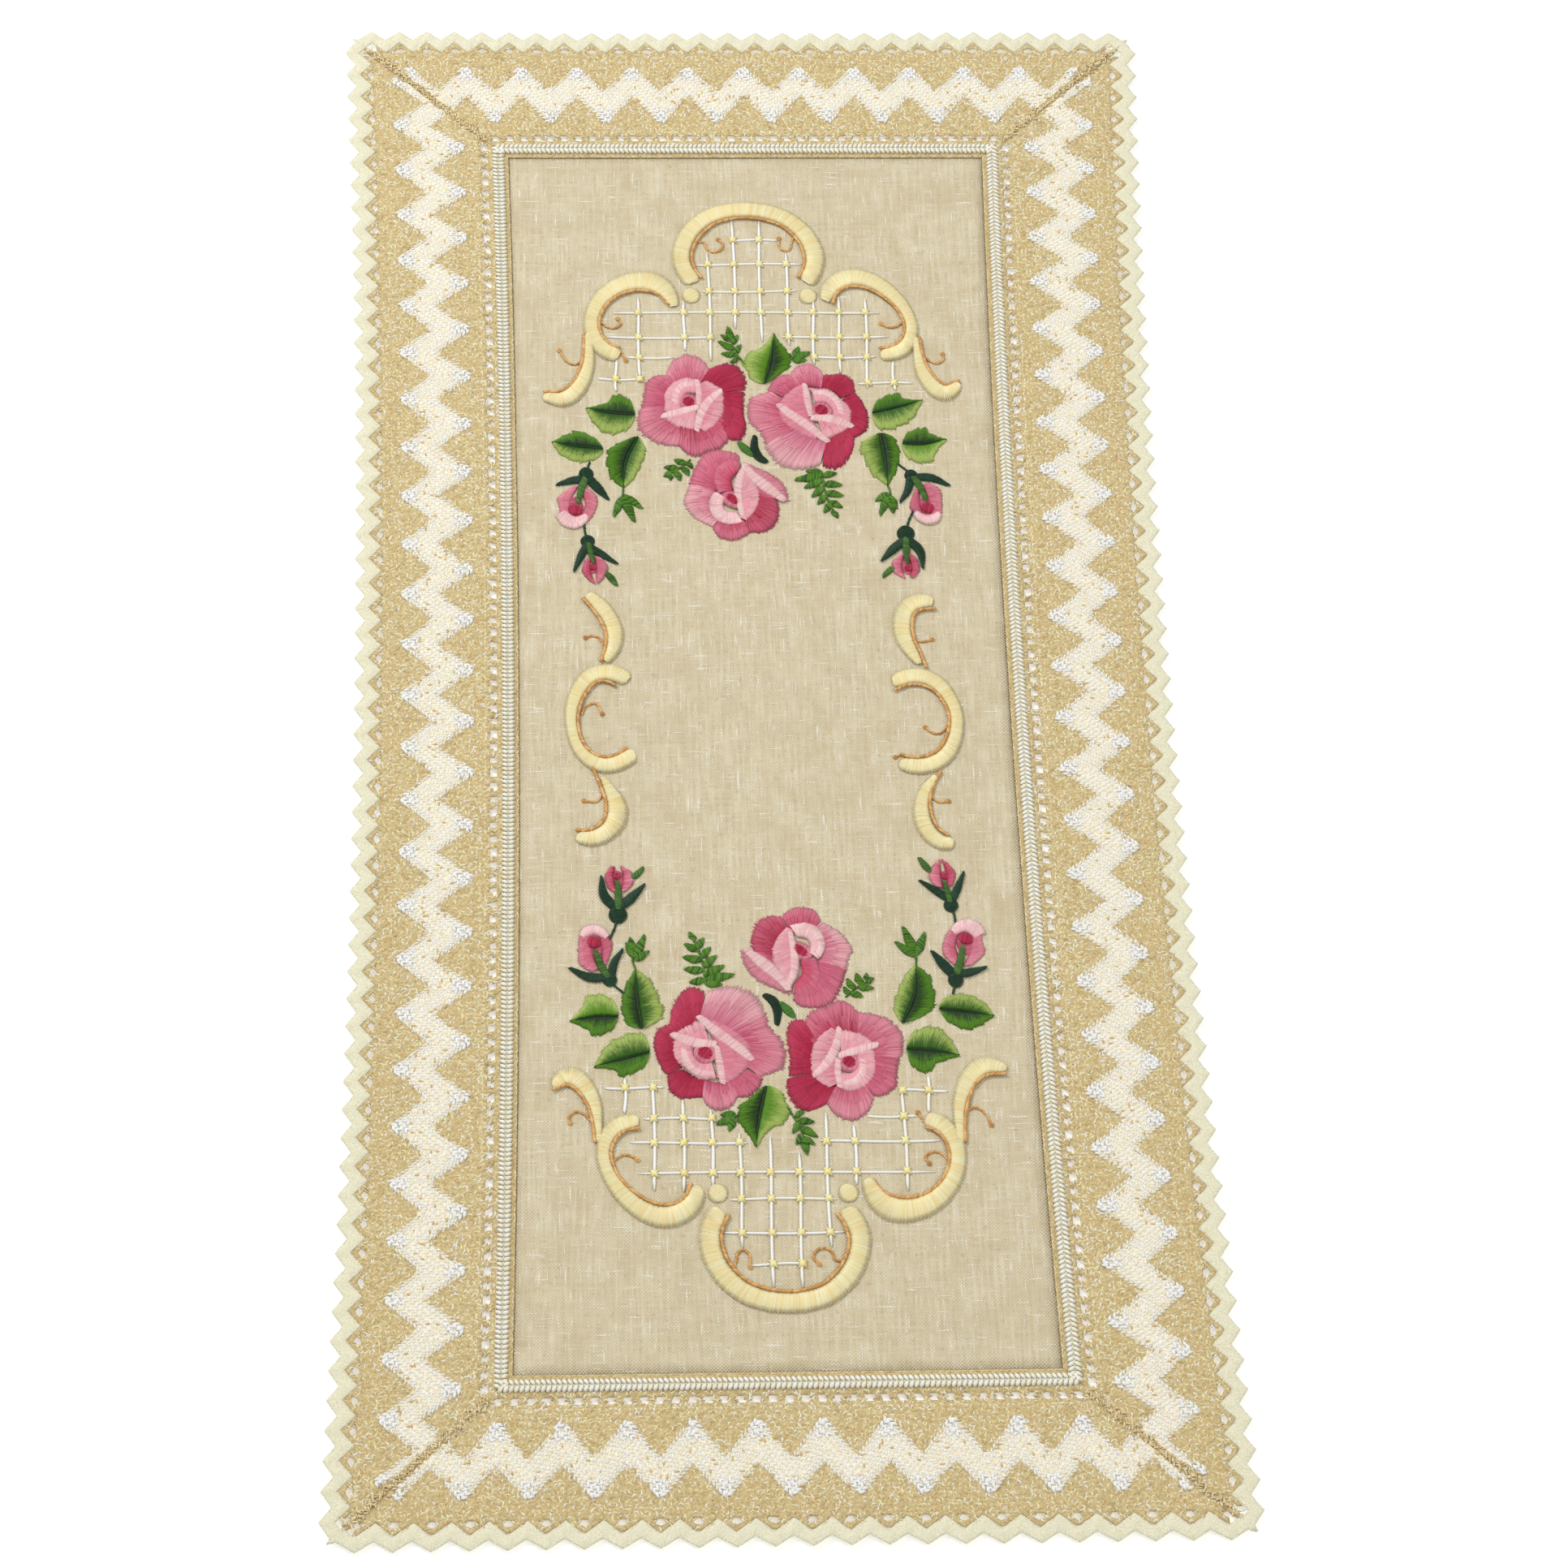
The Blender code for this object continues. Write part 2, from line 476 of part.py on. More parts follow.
for end, turned in (("far", False), ("near", True)):
    def named(text):
        return end + "_" + text

    ridge(named("arch"), drawn_path(ARCH, turned), STITCH_BASE, PAD, "scroll_thread", 16)
    merged(named("scroll_left"), [
        ridge("a", drawn_path(SCROLL_LEFT, turned), STITCH_BASE, PAD, "scroll_thread", 13),
        ridge("b", drawn_path(TAIL_LEFT, turned), STITCH_BASE, PAD - 0.0002, "scroll_thread", 8)])
    merged(named("scroll_right"), [
        ridge("a", drawn_path(SCROLL_RIGHT, turned), STITCH_BASE, PAD, "scroll_thread", 13),
        ridge("b", drawn_path(TAIL_RIGHT, turned), STITCH_BASE, PAD - 0.0002, "scroll_thread", 8)])
    disc(named("dot_left"), -30, 237, 4.6, 3.9, turned, PAD - 0.0003, "scroll_thread")
    disc(named("dot_right"), 29, 236.6, 4.6, 3.9, turned, PAD - 0.0003, "scroll_thread")
    trellis(named("trellis"), turned)
    roses = []
    for which, outline in (("rose_left", ROSE_LEFT), ("rose_right", ROSE_RIGHT),
                           ("rose_middle", ROSE_MIDDLE)):
        roses.append(dome(named(which), drawn(outline, turned), STITCH_BASE,
                          STITCH_BASE + ROSE_RELIEF * 0.6, PETAL, "rose_thread"))
    merged(named("rose_middle"), [
        roses[2], stalk("a", [(-0.4, 154.6, 2.4), (-0.6, 147, 4), (0.6, 137, 4.4)], turned),
        stalk("b", [(-6.8, 151, 3.4), (-4.8, 148.4, 4), (-1.2, 145.2, 2.6)], turned)])

    merged(named("leaf_centre"), [
        leaf("a", CENTRE_LEAF, turned),
        frond("b", [(-3.4, 196.4), (-9.4, 206), (-11.5, 217)],
              [(0.45, 1, 5.5, 3, 0.5), (0.68, 1, 4.5, 2.8, 0.6), (0.62, -1, 3.6, 2.8, 0.7)], turned),
        frond("c", [(16.4, 198.4), (20.6, 201.4), (23.6, 206)],
              [(0.62, -1, 5, 2.8, 0.35)], turned)])

    leaves = [leaf("a", LEAVES_LEFT["lower"], turned), leaf("b", LEAVES_LEFT["upper"], turned),
              leaf("c", LEAVES_LEFT["outer"], turned),
              stalk("d", [(-63.6, 163, 1.6), (-62.4, 158, 1.6), (-61, 152.5, 1.6)], turned),
              stalk("e", [(-79.5, 149, 1.6), (-75, 148, 1.6), (-70.5, 146, 1.6)], turned),
              stalk("f", [(-66.4, 130, 1.8), (-66.8, 122, 1.8), (-62, 108, 3.0)], turned),
              stalk("g", [(-67, 123, 1.6), (-70, 117, 2.8), (-72, 110.4, 2.0)], turned),
              stalk("h", [(-66.4, 122.5, 1.6), (-62, 118.6, 2.8), (-57.6, 115, 2.0)], turned)]
    merged(named("leaves_left"), leaves)
    leaves = [leaf("a", LEAVES_RIGHT["lower"], turned), leaf("b", LEAVES_RIGHT["upper"], turned),
              leaf("c", LEAVES_RIGHT["outer"], turned),
              stalk("d", [(63.6, 163, 1.6), (64.4, 158, 1.6), (65, 152.5, 1.6)], turned),
              stalk("e", [(77, 149.6, 1.6), (73, 148.4, 1.6), (68.5, 146.6, 1.6)], turned),
              stalk("f", [(65.4, 130, 1.8), (66.4, 122, 1.8), (66.8, 112, 3.0)], turned),
              stalk("g", [(66, 124, 1.6), (62.6, 120, 2.8), (58.6, 119, 2.0)], turned),
              stalk("h", [(66, 122.5, 1.6), (63, 117, 2.8), (60.4, 110.8, 2.0)], turned)]
    merged(named("leaves_right"), leaves)

    bud = [(-90, 128), (-96, 125.6), (-100, 119.6), (-98.6, 114.4), (-101, 111), (-98, 105.6),
           (-92, 103.4), (-86, 106), (-83, 111.4), (-79.4, 117.6), (-81, 123.6), (-85, 127)]
    small = [(-83, 89), (-87, 86), (-88.4, 80.6), (-84.6, 75), (-81, 73), (-76.6, 77), (-74.8, 83),
             (-78, 87.6)]
    merged(named("bud_spray_left"), [
        dome("a", drawn(bud, turned), STITCH_BASE, STITCH_BASE + 0.0007, PETAL, "rose_thread"),
        dome("b", drawn(small, turned), STITCH_BASE, STITCH_BASE + 0.0007, PETAL, "rose_thread"),
        disc("c", -85, 134.4, 3.6, 3.8, turned, LEAF + 0.0003, "leaf_thread"),
        disc("d", -85, 97, 3.6, 3.4, turned, LEAF + 0.0003, "leaf_thread"),
        stalk("e", [(-84, 139.8, 1.8), (-84.6, 137, 1.8), (-85, 132, 1.8)], turned),
        stalk("f", [(-86.8, 111, 2.2), (-86.4, 103.5, 2.0), (-85.4, 96, 2.2)], turned),
        stalk("g", [(-84, 131.6, 4), (-92, 130.6, 4), (-100, 128.4, 1.6)], turned),
        stalk("h", [(-85, 132.6, 4.6), (-80, 126.6, 5), (-74.4, 119.6, 1.6)], turned),
        stalk("i", [(-85.4, 95, 4), (-88.6, 88, 3.6), (-92.2, 80.2, 1.4)], turned),
        stalk("j", [(-85, 94.6, 4), (-78.6, 89.6, 3.8), (-70.6, 84.2, 1.4)], turned),
        stalk("k", [(-78.6, 83, 2.4), (-74.6, 78, 3.4), (-71.2, 72.4, 1.6)], turned),
        stalk("l", [(-85.4, 133, 3.6), (-87.4, 126, 3.6), (-89.4, 117.6, 1.8)], turned, OVER),
        stalk("m", [(-84.6, 96, 3.2), (-83.4, 90, 3.2), (-82.4, 84.6, 1.6)], turned, OVER)])
    bud = [(80, 128.6), (87, 129.2), (92, 124), (92, 114.6), (90, 107), (84, 104.8), (78, 108),
           (75.2, 114), (76, 121)]
    small = [(69, 88.6), (65, 84.6), (66, 78.6), (71, 75.4), (76.4, 75.6), (79.4, 80.6),
             (78, 86.6), (74, 89.4)]
    merged(named("bud_spray_right"), [
        dome("a", drawn(bud, turned), STITCH_BASE, STITCH_BASE + 0.0007, PETAL, "rose_thread"),
        dome("b", drawn(small, turned), STITCH_BASE, STITCH_BASE + 0.0007, PETAL, "rose_thread"),
        disc("c", 77, 133, 3.4, 3.2, turned, LEAF + 0.0003, "leaf_thread"),
        disc("d", 73, 100.4, 4.4, 4.4, turned, LEAF + 0.0003, "leaf_thread"),
        stalk("e", [(73, 138, 1.8), (75, 135.6, 1.8), (77.4, 132.6, 1.8)], turned),
        stalk("f", [(78.4, 116, 2.2), (75.4, 109, 2.0), (73.4, 101, 2.2)], turned),
        stalk("g", [(77.6, 132, 4), (87, 131.4, 4.4), (96, 126.8, 1.6)], turned),
        stalk("h", [(76.6, 132.6, 4), (75.4, 125, 4), (70.8, 117.8, 1.6)], turned),
        stalk("i", [(73.4, 98, 4.4), (66.4, 91.8, 4.6), (60, 85.2, 1.4)], turned),
        stalk("j", [(73, 98, 4.4), (79.4, 90.8, 4.6), (80.6, 80.8, 1.4)], turned),
        stalk("k", [(69, 83, 2.4), (64.6, 80.4, 3.2), (60.4, 76.6, 1.6)], turned),
        stalk("l", [(78, 132, 3.4), (81.4, 125.6, 3.4), (84, 118, 1.8)], turned, OVER),
        stalk("m", [(73, 99, 3.4), (72.8, 91, 3.6), (73, 83.4, 1.8)], turned, OVER)])

    frond(named("fern_left"), [(-32.6, 142.6), (-38, 138), (-44.6, 134)],
          [(0.3, 1, 4.6, 2.8, 0.7), (0.62, 1, 4.6, 2.8, 0.6), (0.25, -1, 3.6, 2.6, 0.7),
           (0.6, -1, 3.6, 2.6, 0.6)], turned)
    frond(named("fern_right"), [(32, 134.8), (34, 123), (39, 110.4)],
          [(0.06, -1, 13, 4, 0.1), (0.3, -1, 8.5, 3.4, 0.55), (0.52, -1, 7, 3, 0.7),
           (0.74, -1, 4.6, 2.6, 0.8), (0.13, 1, 5.6, 3, 0.3), (0.34, 1, 7.6, 3.2, 0.5),
           (0.56, 1, 6.6, 3, 0.6), (0.76, 1, 4.4, 2.6, 0.7)], turned)

for which, path in SIDE_SCROLLS.items():
    ridge("side_scroll_" + which, drawn_path(path, False), STITCH_BASE, PAD, "scroll_thread", 11)
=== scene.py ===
"""Embroidered linen table runner with a wide knitted-lace border, laid flat on a pale surface.

The runner lies along Y with its far end at +Y. The loops of the lace and every stitch are
modelled as thread: a thread is a path of a few points carried as whole numpy arrays, and a
tube of three sides is drawn round it. The weave of the linen and the grain of the nets are
patterns in their materials. Embroidery is laid out in millimetres on a drawing
240 mm wide and 640 mm long, u across and v along, and stretched onto the linen panel.
"""
import math

import bpy
import numpy as np
from mathutils import Matrix, Vector


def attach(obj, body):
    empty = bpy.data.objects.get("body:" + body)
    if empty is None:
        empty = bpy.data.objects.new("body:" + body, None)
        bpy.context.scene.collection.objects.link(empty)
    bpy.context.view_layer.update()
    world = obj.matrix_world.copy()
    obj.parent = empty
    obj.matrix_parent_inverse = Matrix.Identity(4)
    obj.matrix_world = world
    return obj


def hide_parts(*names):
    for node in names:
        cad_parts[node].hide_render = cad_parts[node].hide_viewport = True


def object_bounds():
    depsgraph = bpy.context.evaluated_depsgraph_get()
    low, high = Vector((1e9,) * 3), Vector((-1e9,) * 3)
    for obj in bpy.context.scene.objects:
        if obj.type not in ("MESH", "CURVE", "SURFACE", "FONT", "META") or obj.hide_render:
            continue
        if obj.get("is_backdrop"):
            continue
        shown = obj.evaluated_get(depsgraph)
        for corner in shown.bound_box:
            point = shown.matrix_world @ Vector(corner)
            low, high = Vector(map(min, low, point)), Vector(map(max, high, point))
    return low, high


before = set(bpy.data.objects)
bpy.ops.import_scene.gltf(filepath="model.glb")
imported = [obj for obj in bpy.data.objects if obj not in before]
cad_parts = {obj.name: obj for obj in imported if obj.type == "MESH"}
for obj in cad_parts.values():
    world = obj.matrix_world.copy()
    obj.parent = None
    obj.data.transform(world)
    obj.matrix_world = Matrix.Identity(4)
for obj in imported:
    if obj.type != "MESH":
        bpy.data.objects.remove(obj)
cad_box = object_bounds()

# ---- The surface it lies on, the light and the camera -------------------------------------
# A white table top that glows a little so shadows stay faint, under a large window light
# from the upper left, with bright walls all round, seen from above the near end.
def principled(name, colour, rough=0.8, sheen=0.0):
    """A plain material: one Principled shader, ready for a pattern to be linked in."""
    made = bpy.data.materials.new(name)
    made.use_nodes = True
    shader = made.node_tree.nodes["Principled BSDF"]
    shader.inputs["Base Color"].default_value = (*colour, 1.0)
    shader.inputs["Roughness"].default_value = rough
    shader.inputs["Sheen Weight"].default_value = sheen
    shader.inputs["Specular IOR Level"].default_value = 0.25
    return made, made.node_tree, shader


top = bpy.data.meshes.new("table_top")
top.from_pydata([(-6, -6, -0.0006), (6, -6, -0.0006), (6, 6, -0.0006), (-6, 6, -0.0006)],
                [], [(0, 1, 2, 3)])
table_top = bpy.data.objects.new("table_top", top)
bpy.context.scene.collection.objects.link(table_top)
white_top, tree, shader = principled("lit_white_top", (0.92, 0.92, 0.91), 0.9)
shader.inputs["Emission Color"].default_value = (1.0, 1.0, 1.0, 1.0)
shader.inputs["Emission Strength"].default_value = 0.32
top.materials.append(white_top)
table_top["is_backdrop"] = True

walls = bpy.data.worlds.new("bright_room")
walls.use_nodes = True
walls.node_tree.nodes["Background"].inputs["Color"].default_value = (1.0, 0.99, 0.97, 1.0)
walls.node_tree.nodes["Background"].inputs["Strength"].default_value = 0.61
bpy.context.scene.world = walls
for name, place, size, power in (("window", (-1.5, 1.3, 2.0), 1.1, 42.0),
                                 ("lamp_fill", (1.6, -1.0, 1.8), 1.6, 13.0)):
    lamp = bpy.data.lights.new(name, "AREA")
    lamp.size, lamp.energy = size, power
    lit = bpy.data.objects.new(name, lamp)
    lit.location = place
    lit.rotation_euler = Vector(place).to_track_quat("Z", "Y").to_euler()
    bpy.context.scene.collection.objects.link(lit)
bpy.context.scene.view_settings.view_transform = "Standard"

CAMERA_TURN, CAMERA_HEIGHT, CAMERA_ROLL = (math.radians(a) for a in (-5.4, 58.4, 4.2))
CAMERA_REACH, CAMERA_AIM = 2.27, Vector((0.0075, -0.0343, 0.0))
back = Vector((math.sin(CAMERA_TURN) * math.cos(CAMERA_HEIGHT),
               -math.cos(CAMERA_TURN) * math.cos(CAMERA_HEIGHT), math.sin(CAMERA_HEIGHT)))
across = Vector((0, 0, 1)).cross(back).normalized()
over = back.cross(across)
lens = bpy.data.cameras.new("camera")
lens.sensor_width, lens.angle = 36.0, math.radians(18.0)
camera = bpy.data.objects.new("camera", lens)
camera.matrix_world = (Matrix.Translation(CAMERA_AIM + back * CAMERA_REACH)
                       @ Matrix((across, over, back)).transposed().to_4x4()
                       @ Matrix.Rotation(CAMERA_ROLL, 4, "Z"))
bpy.context.scene.collection.objects.link(camera)
bpy.context.scene.camera = camera


# ---- Linen panel --------------------------------------------------------------------------
# Natural flax in plain weave, mottled, with thicker slubs in both directions. One flat piece,
# hemmed by the lace that is worked onto its four edges; it lies flat and barely ripples.
WIDTH, LENGTH, BORDER, WAIST = 0.400, 0.820, 0.080, 0.05
LINEN_THICK = 0.0007


def drawn_in(points):
    """The long sides draw in towards the middle: x is scaled by 1 - waist (1 - (2y / length)^2)."""
    points = np.array(points, dtype=float)
    points[..., 0] *= 1 - WAIST * (1 - (2 * points[..., 1] / LENGTH) ** 2)
    return points


def srgb(*shade):
    """A colour given on a 0 to 255 scale, as linear light: (c / 255) ^ 2.2."""
    return tuple((np.array(shade, dtype=float) / 255.0) ** 2.2)


def piece(name, points, quads, material, replaced=(), tint=None, slot=None, ends=()):
    """A mesh from whole arrays of points, four-sided faces and three-sided end faces, riding
    on the runner."""
    mesh = bpy.data.meshes.new(name)
    mesh.vertices.add(len(points))
    mesh.vertices.foreach_set("co", np.asarray(points, np.float32).ravel())
    corners = np.concatenate([np.ravel(quads), np.ravel(ends)]).astype(np.int32)
    starts = np.concatenate([np.arange(0, quads.size, 4), np.arange(quads.size, corners.size, 3)])
    mesh.loops.add(corners.size)
    mesh.loops.foreach_set("vertex_index", corners)
    mesh.polygons.add(len(starts))
    mesh.polygons.foreach_set("loop_start", starts.astype(np.int32))
    mesh.polygons.foreach_set("use_smooth", np.ones(len(starts), bool))
    mesh.update(calc_edges=True)
    mesh.validate()
    if tint is not None:
        paint = mesh.color_attributes.new("tint", "FLOAT_COLOR", "POINT")
        paint.data.foreach_set("color", np.column_stack(
            [tint, np.ones(len(tint))]).astype(np.float32).ravel())
    mesh.materials.append(material)
    made = bpy.data.objects.new(name, mesh)
    bpy.context.scene.collection.objects.link(made)
    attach(made, "root")
    if replaced:
        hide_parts(*replaced)
    return made


def grid_faces(rows, columns):
    """Faces of a grid of points: each joins (r, c), (r, c+1), (r+1, c+1), (r+1, c)."""
    k = np.arange(rows * columns).reshape(rows, columns)
    return np.stack([k[:-1, :-1], k[:-1, 1:], k[1:, 1:], k[1:, :-1]], axis=-1).reshape(-1, 4)


def given_thickness(made, thick):
    """Cloth has two faces: a wall of this thickness is grown below the modelled upper face."""
    wall = made.modifiers.new("thickness", "SOLIDIFY")
    wall.thickness, wall.offset = thick, -1.0
    return made


def node_tools(tree):
    """Short ways to add and link shader nodes; values may be numbers or sockets."""
    def link(value, socket):
        if isinstance(value, bpy.types.NodeSocket):
            tree.links.new(value, socket)
        elif value is not None:
            socket.default_value = value

    def math_node(kind, a, b=None):
        made = tree.nodes.new("ShaderNodeMath")
        made.operation = kind
        link(a, made.inputs[0])
        link(b, made.inputs[1])
        return made.outputs[0]

    def stretched(scale):
        spot = tree.nodes.new("ShaderNodeTexCoord")
        moved = tree.nodes.new("ShaderNodeMapping")
        moved.inputs["Scale"].default_value = scale
        tree.links.new(spot.outputs["Object"], moved.inputs["Vector"])
        return moved.outputs[0]

    def cloud(vector, size=1.0, detail=2.0, rough=0.5):
        made = tree.nodes.new("ShaderNodeTexNoise")
        made.inputs["Scale"].default_value = size
        made.inputs["Detail"].default_value = detail
        made.inputs["Roughness"].default_value = rough
        tree.links.new(vector, made.inputs["Vector"])
        return made.outputs["Fac"]

    def mix(fac, a, b, kind="MIX"):
        made = tree.nodes.new("ShaderNodeMix")
        made.data_type, made.blend_type = "RGBA", kind
        link(fac, made.inputs["Factor"])
        link((*a, 1.0) if isinstance(a, tuple) else a, made.inputs["A"])
        link((*b, 1.0) if isinstance(b, tuple) else b, made.inputs["B"])
        return made.outputs["Result"]

    def between(value, low, high, to_low=0.0, to_high=1.0):
        made = tree.nodes.new("ShaderNodeMapRange")
        link(value, made.inputs["Value"])
        for socket, number in zip(("From Min", "From Max", "To Min", "To Max"),
                                  (low, high, to_low, to_high)):
            made.inputs[socket].default_value = number
        return made.outputs["Result"]

    def raised(height, depth, strength, shader):
        made = tree.nodes.new("ShaderNodeBump")
        made.inputs["Strength"].default_value = strength
        made.inputs["Distance"].default_value = depth
        tree.links.new(height, made.inputs["Height"])
        tree.links.new(made.outputs["Normal"], shader.inputs["Normal"])

    return link, math_node, stretched, cloud, mix, between, raised


def linen_cloth():
    """Threads every 0.8 mm both ways, each a half wave high over and under the other; the
    colour wanders along single threads (slubs) and in soft patches."""
    made, tree, shader = principled("natural_linen", srgb(214, 203, 171), 0.88, 0.15)
    link, calc, stretched, cloud, mix, between, raised = node_tools(tree)
    threads = tree.nodes.new("ShaderNodeSeparateXYZ")
    tree.links.new(stretched((1, 1, 1)), threads.inputs[0])
    turn = 2 * math.pi / 0.00160
    warp = calc("SINE", calc("MULTIPLY", threads.outputs["X"], turn))
    weft = calc("SINE", calc("MULTIPLY", threads.outputs["Y"], turn))
    weave = calc("MULTIPLY", warp, weft)
    lengthways = cloud(stretched((640, 34, 1)), 1.0, 3.0, 0.62)
    crossways = cloud(stretched((30, 640, 1)), 1.0, 3.0, 0.62)
    patches = cloud(stretched((1, 1, 1)), 60.0, 6.0, 0.72)
    slubs = calc("MAXIMUM", between(cloud(stretched((860, 80, 1)), 1.0, 1.0), 0.62, 0.73),
                 between(cloud(stretched((80, 860, 1)), 1.0, 1.0), 0.62, 0.73))
    flax = between(cloud(stretched((380, 380, 1)), 1.0, 2.0), 0.62, 0.74)
    tone = mix(between(lengthways, 0.34, 0.66), srgb(196, 181, 144), srgb(235, 227, 200))
    tone = mix(between(crossways, 0.36, 0.64, 0.0, 0.85), tone, srgb(226, 214, 184))
    tone = mix(between(patches, 0.36, 0.62, 0.0, 0.6), tone, srgb(198, 181, 145))
    tone = mix(calc("MULTIPLY", slubs, 0.7), tone, srgb(248, 243, 226))
    tone = mix(calc("MULTIPLY", flax, 0.45), tone, srgb(178, 154, 116))
    tone = mix(between(weave, -1.0, 1.0, 0.0, 0.28), tone, srgb(188, 174, 144))
    link(tone, shader.inputs["Base Color"])
    raised(calc("ADD", weave, calc("MULTIPLY", slubs, 1.4)), 0.00018, 0.8, shader)
    return made


columns = np.linspace(-(WIDTH / 2 - BORDER), WIDTH / 2 - BORDER, 41)
rows = np.linspace(-(LENGTH / 2 - BORDER), LENGTH / 2 - BORDER, 101)
xs, ys = np.meshgrid(columns, rows)
sag = 0.00010 * np.sin(37 * xs + 2.1 * np.sin(9 * ys)) * np.cos(23 * ys)
panel_points = drawn_in(np.stack([xs, ys, LINEN_THICK + 0.0001 + sag], axis=-1)).reshape(-1, 3)
linen = piece("linen_cloth", panel_points, grid_faces(101, 41), linen_cloth(), ("linen_panel",),
              slot="linen")
given_thickness(linen, LINEN_THICK)


# ---- Lace ground --------------------------------------------------------------------------
# Golden-tan cotton-linen yarn knitted in four strips, one to a side, mitred at the corners.
# Each strip is a soft net with a row of eyelets beside the braid, and the loops of the yarn
# stand on it. The net is a darker tan than the loops: painted shade for the gaps between them.
SIDES = {"far": WIDTH / 2, "near": WIDTH / 2, "left": LENGTH / 2, "right": LENGTH / 2}
TEETH = {"far": 29, "near": 25, "left": 59, "right": 59}
NET_TOP = 0.00095
ZIGZAG_PITCH, ZIGZAG_OUT, ZIGZAG_SWING, ZIGZAG_STROKE = 0.028, 0.022, 0.016, 0.022
EYELET_PITCH, EYELET_AT = 0.0070, 0.0684
EDGE_POINT, EDGE_NOTCH, TOOTH_DEPTH = 0.0070, 0.0136, 0.0050
HOLE_AT = 0.0127
NET_START = 0.0158          # where the points end and the straight net begins


def on_strip(side, s, d, z):
    """From a border strip's own measures to the runner: s runs along the side from its
    middle, d inwards from the tooth tips, z up. The lace ripples a little towards its edge:
    z gains up to 1.1 mm times the square of the way out."""
    s, d, z = np.broadcast_arrays(s, d, z)
    x, y = {"far": (s, LENGTH / 2 - d), "near": (-s, d - LENGTH / 2),
            "right": (WIDTH / 2 - d, -s), "left": (d - WIDTH / 2, s)}[side]
    out = np.clip(1 - d / 0.072, 0, 1) ** 2
    wave = 0.5 + 0.28 * np.sin(21 * x - 33 * y) + 0.22 * np.sin(47 * x + 18 * y + 1.3)
    return drawn_in(np.stack([x, y, z + 0.0011 * out * wave], axis=-1))


def sawtooth(s, pitch, tip_in_middle):
    """0 at the outward tips and 1 at the notches between them: twice the distance from
    s / pitch to the nearest whole number, shifted by a half where no tip is in the middle."""
    phase = s / pitch + (0.0 if tip_in_middle else 0.5)
    return np.abs(2 * (phase - np.floor(phase + 0.5)))


def zigzag_depth(side, s):
    """How far in the outer line of the white zigzag lies at s."""
    wave = sawtooth(s, ZIGZAG_PITCH, side in ("far", "near"))
    return ZIGZAG_OUT + ZIGZAG_SWING * wave


def stroke_depth(side, s):
    """How deep the zigzag's stroke is at s: a little less at the outward turns."""
    return ZIGZAG_STROKE - 0.0028 * (1 - sawtooth(s, ZIGZAG_PITCH, side in ("far", "near")))


def yarn(name, rough=0.75, sheen=0.3, fuzz=0.35):
    """Spun yarn: the colour comes from each thread's own tint, broken up by fine fibre noise."""
    made, tree, shader = principled(name, (0.5, 0.4, 0.3), rough, sheen)
    link, calc, stretched, cloud, mix, between, raised = node_tools(tree)
    own = tree.nodes.new("ShaderNodeVertexColor")
    own.layer_name = "tint"
    fibre = cloud(stretched((1, 1, 1)), 2600.0, 2.0)
    dark = mix(1.0, own.outputs["Color"], (0.72, 0.66, 0.58), "MULTIPLY")
    link(mix(between(fibre, 0.35, 0.75, 0.0, fuzz), own.outputs["Color"], dark),
         shader.inputs["Base Color"])
    raised(fibre, 0.00012, 0.5, shader)
    return made


def tubes(paths, wide, high, tuck=0.55):
    """A three-sided tube round each path, ridge up and flat below: every ring is
    path + 1.15 (wide cos(a) side + high sin(a) up), a = 90, 210 and 330 degrees, with side
    level and at right angles to the path. The end rings are tucked to a share and closed."""
    count, steps, _ = paths.shape
    along = np.gradient(paths, axis=1)
    along /= np.linalg.norm(along, axis=2, keepdims=True) + 1e-12
    side = np.cross(along, [0.0, 0.0, 1.0])
    side /= np.linalg.norm(side, axis=2, keepdims=True) + 1e-12
    above = np.cross(side, along)
    angle = math.pi / 2 + np.arange(3) * 2 * math.pi / 3
    full = np.ones(steps)
    full[[0, -1]] = tuck
    wide = 1.15 * np.broadcast_to(np.reshape(wide, (-1, 1)), (count, steps)) * full
    high = 1.15 * np.broadcast_to(np.reshape(high, (-1, 1)), (count, steps)) * full
    ring = (paths[:, :, None] + wide[..., None, None] * np.cos(angle)[:, None] * side[:, :, None]
            + high[..., None, None] * np.sin(angle)[:, None] * above[:, :, None])
    first = (np.arange(count)[:, None] * steps + np.arange(steps - 1)) * 3
    corner = np.arange(3)
    a = first[..., None] + corner
    b = first[..., None] + (corner + 1) % 3
    walls = np.stack([a, b, b + 3, a + 3], axis=-1).reshape(-1, 4)
    start = np.arange(count)[:, None] * steps * 3
    caps = np.concatenate([start + corner[::-1], start + (steps - 1) * 3 + corner])
    return ring.reshape(-1, 3), walls[:, ::-1], caps[:, ::-1]


def threads(name, bundles, material, replaced=(), slot=None):
    """One piece from bundles of (paths, width, height, colours); colours are per thread or
    per point of each thread."""
    points, quads, ends, tints, total = [], [], [], [], 0
    for paths, wide, high, colours in bundles:
        p, q, e = tubes(paths, wide, high)
        colours = np.asarray(colours)
        if colours.ndim == 2:
            colours = np.repeat(colours[:, None], paths.shape[1], axis=1)
        points.append(p)
        quads.append(q + total)
        ends.append(e + total)
        tints.append(np.repeat(colours.reshape(-1, 3), 3, axis=0))
        total += len(p)
    return piece(name, np.concatenate(points), np.concatenate(quads), material, replaced,
                 tint=np.concatenate(tints), slot=slot, ends=np.concatenate(ends))


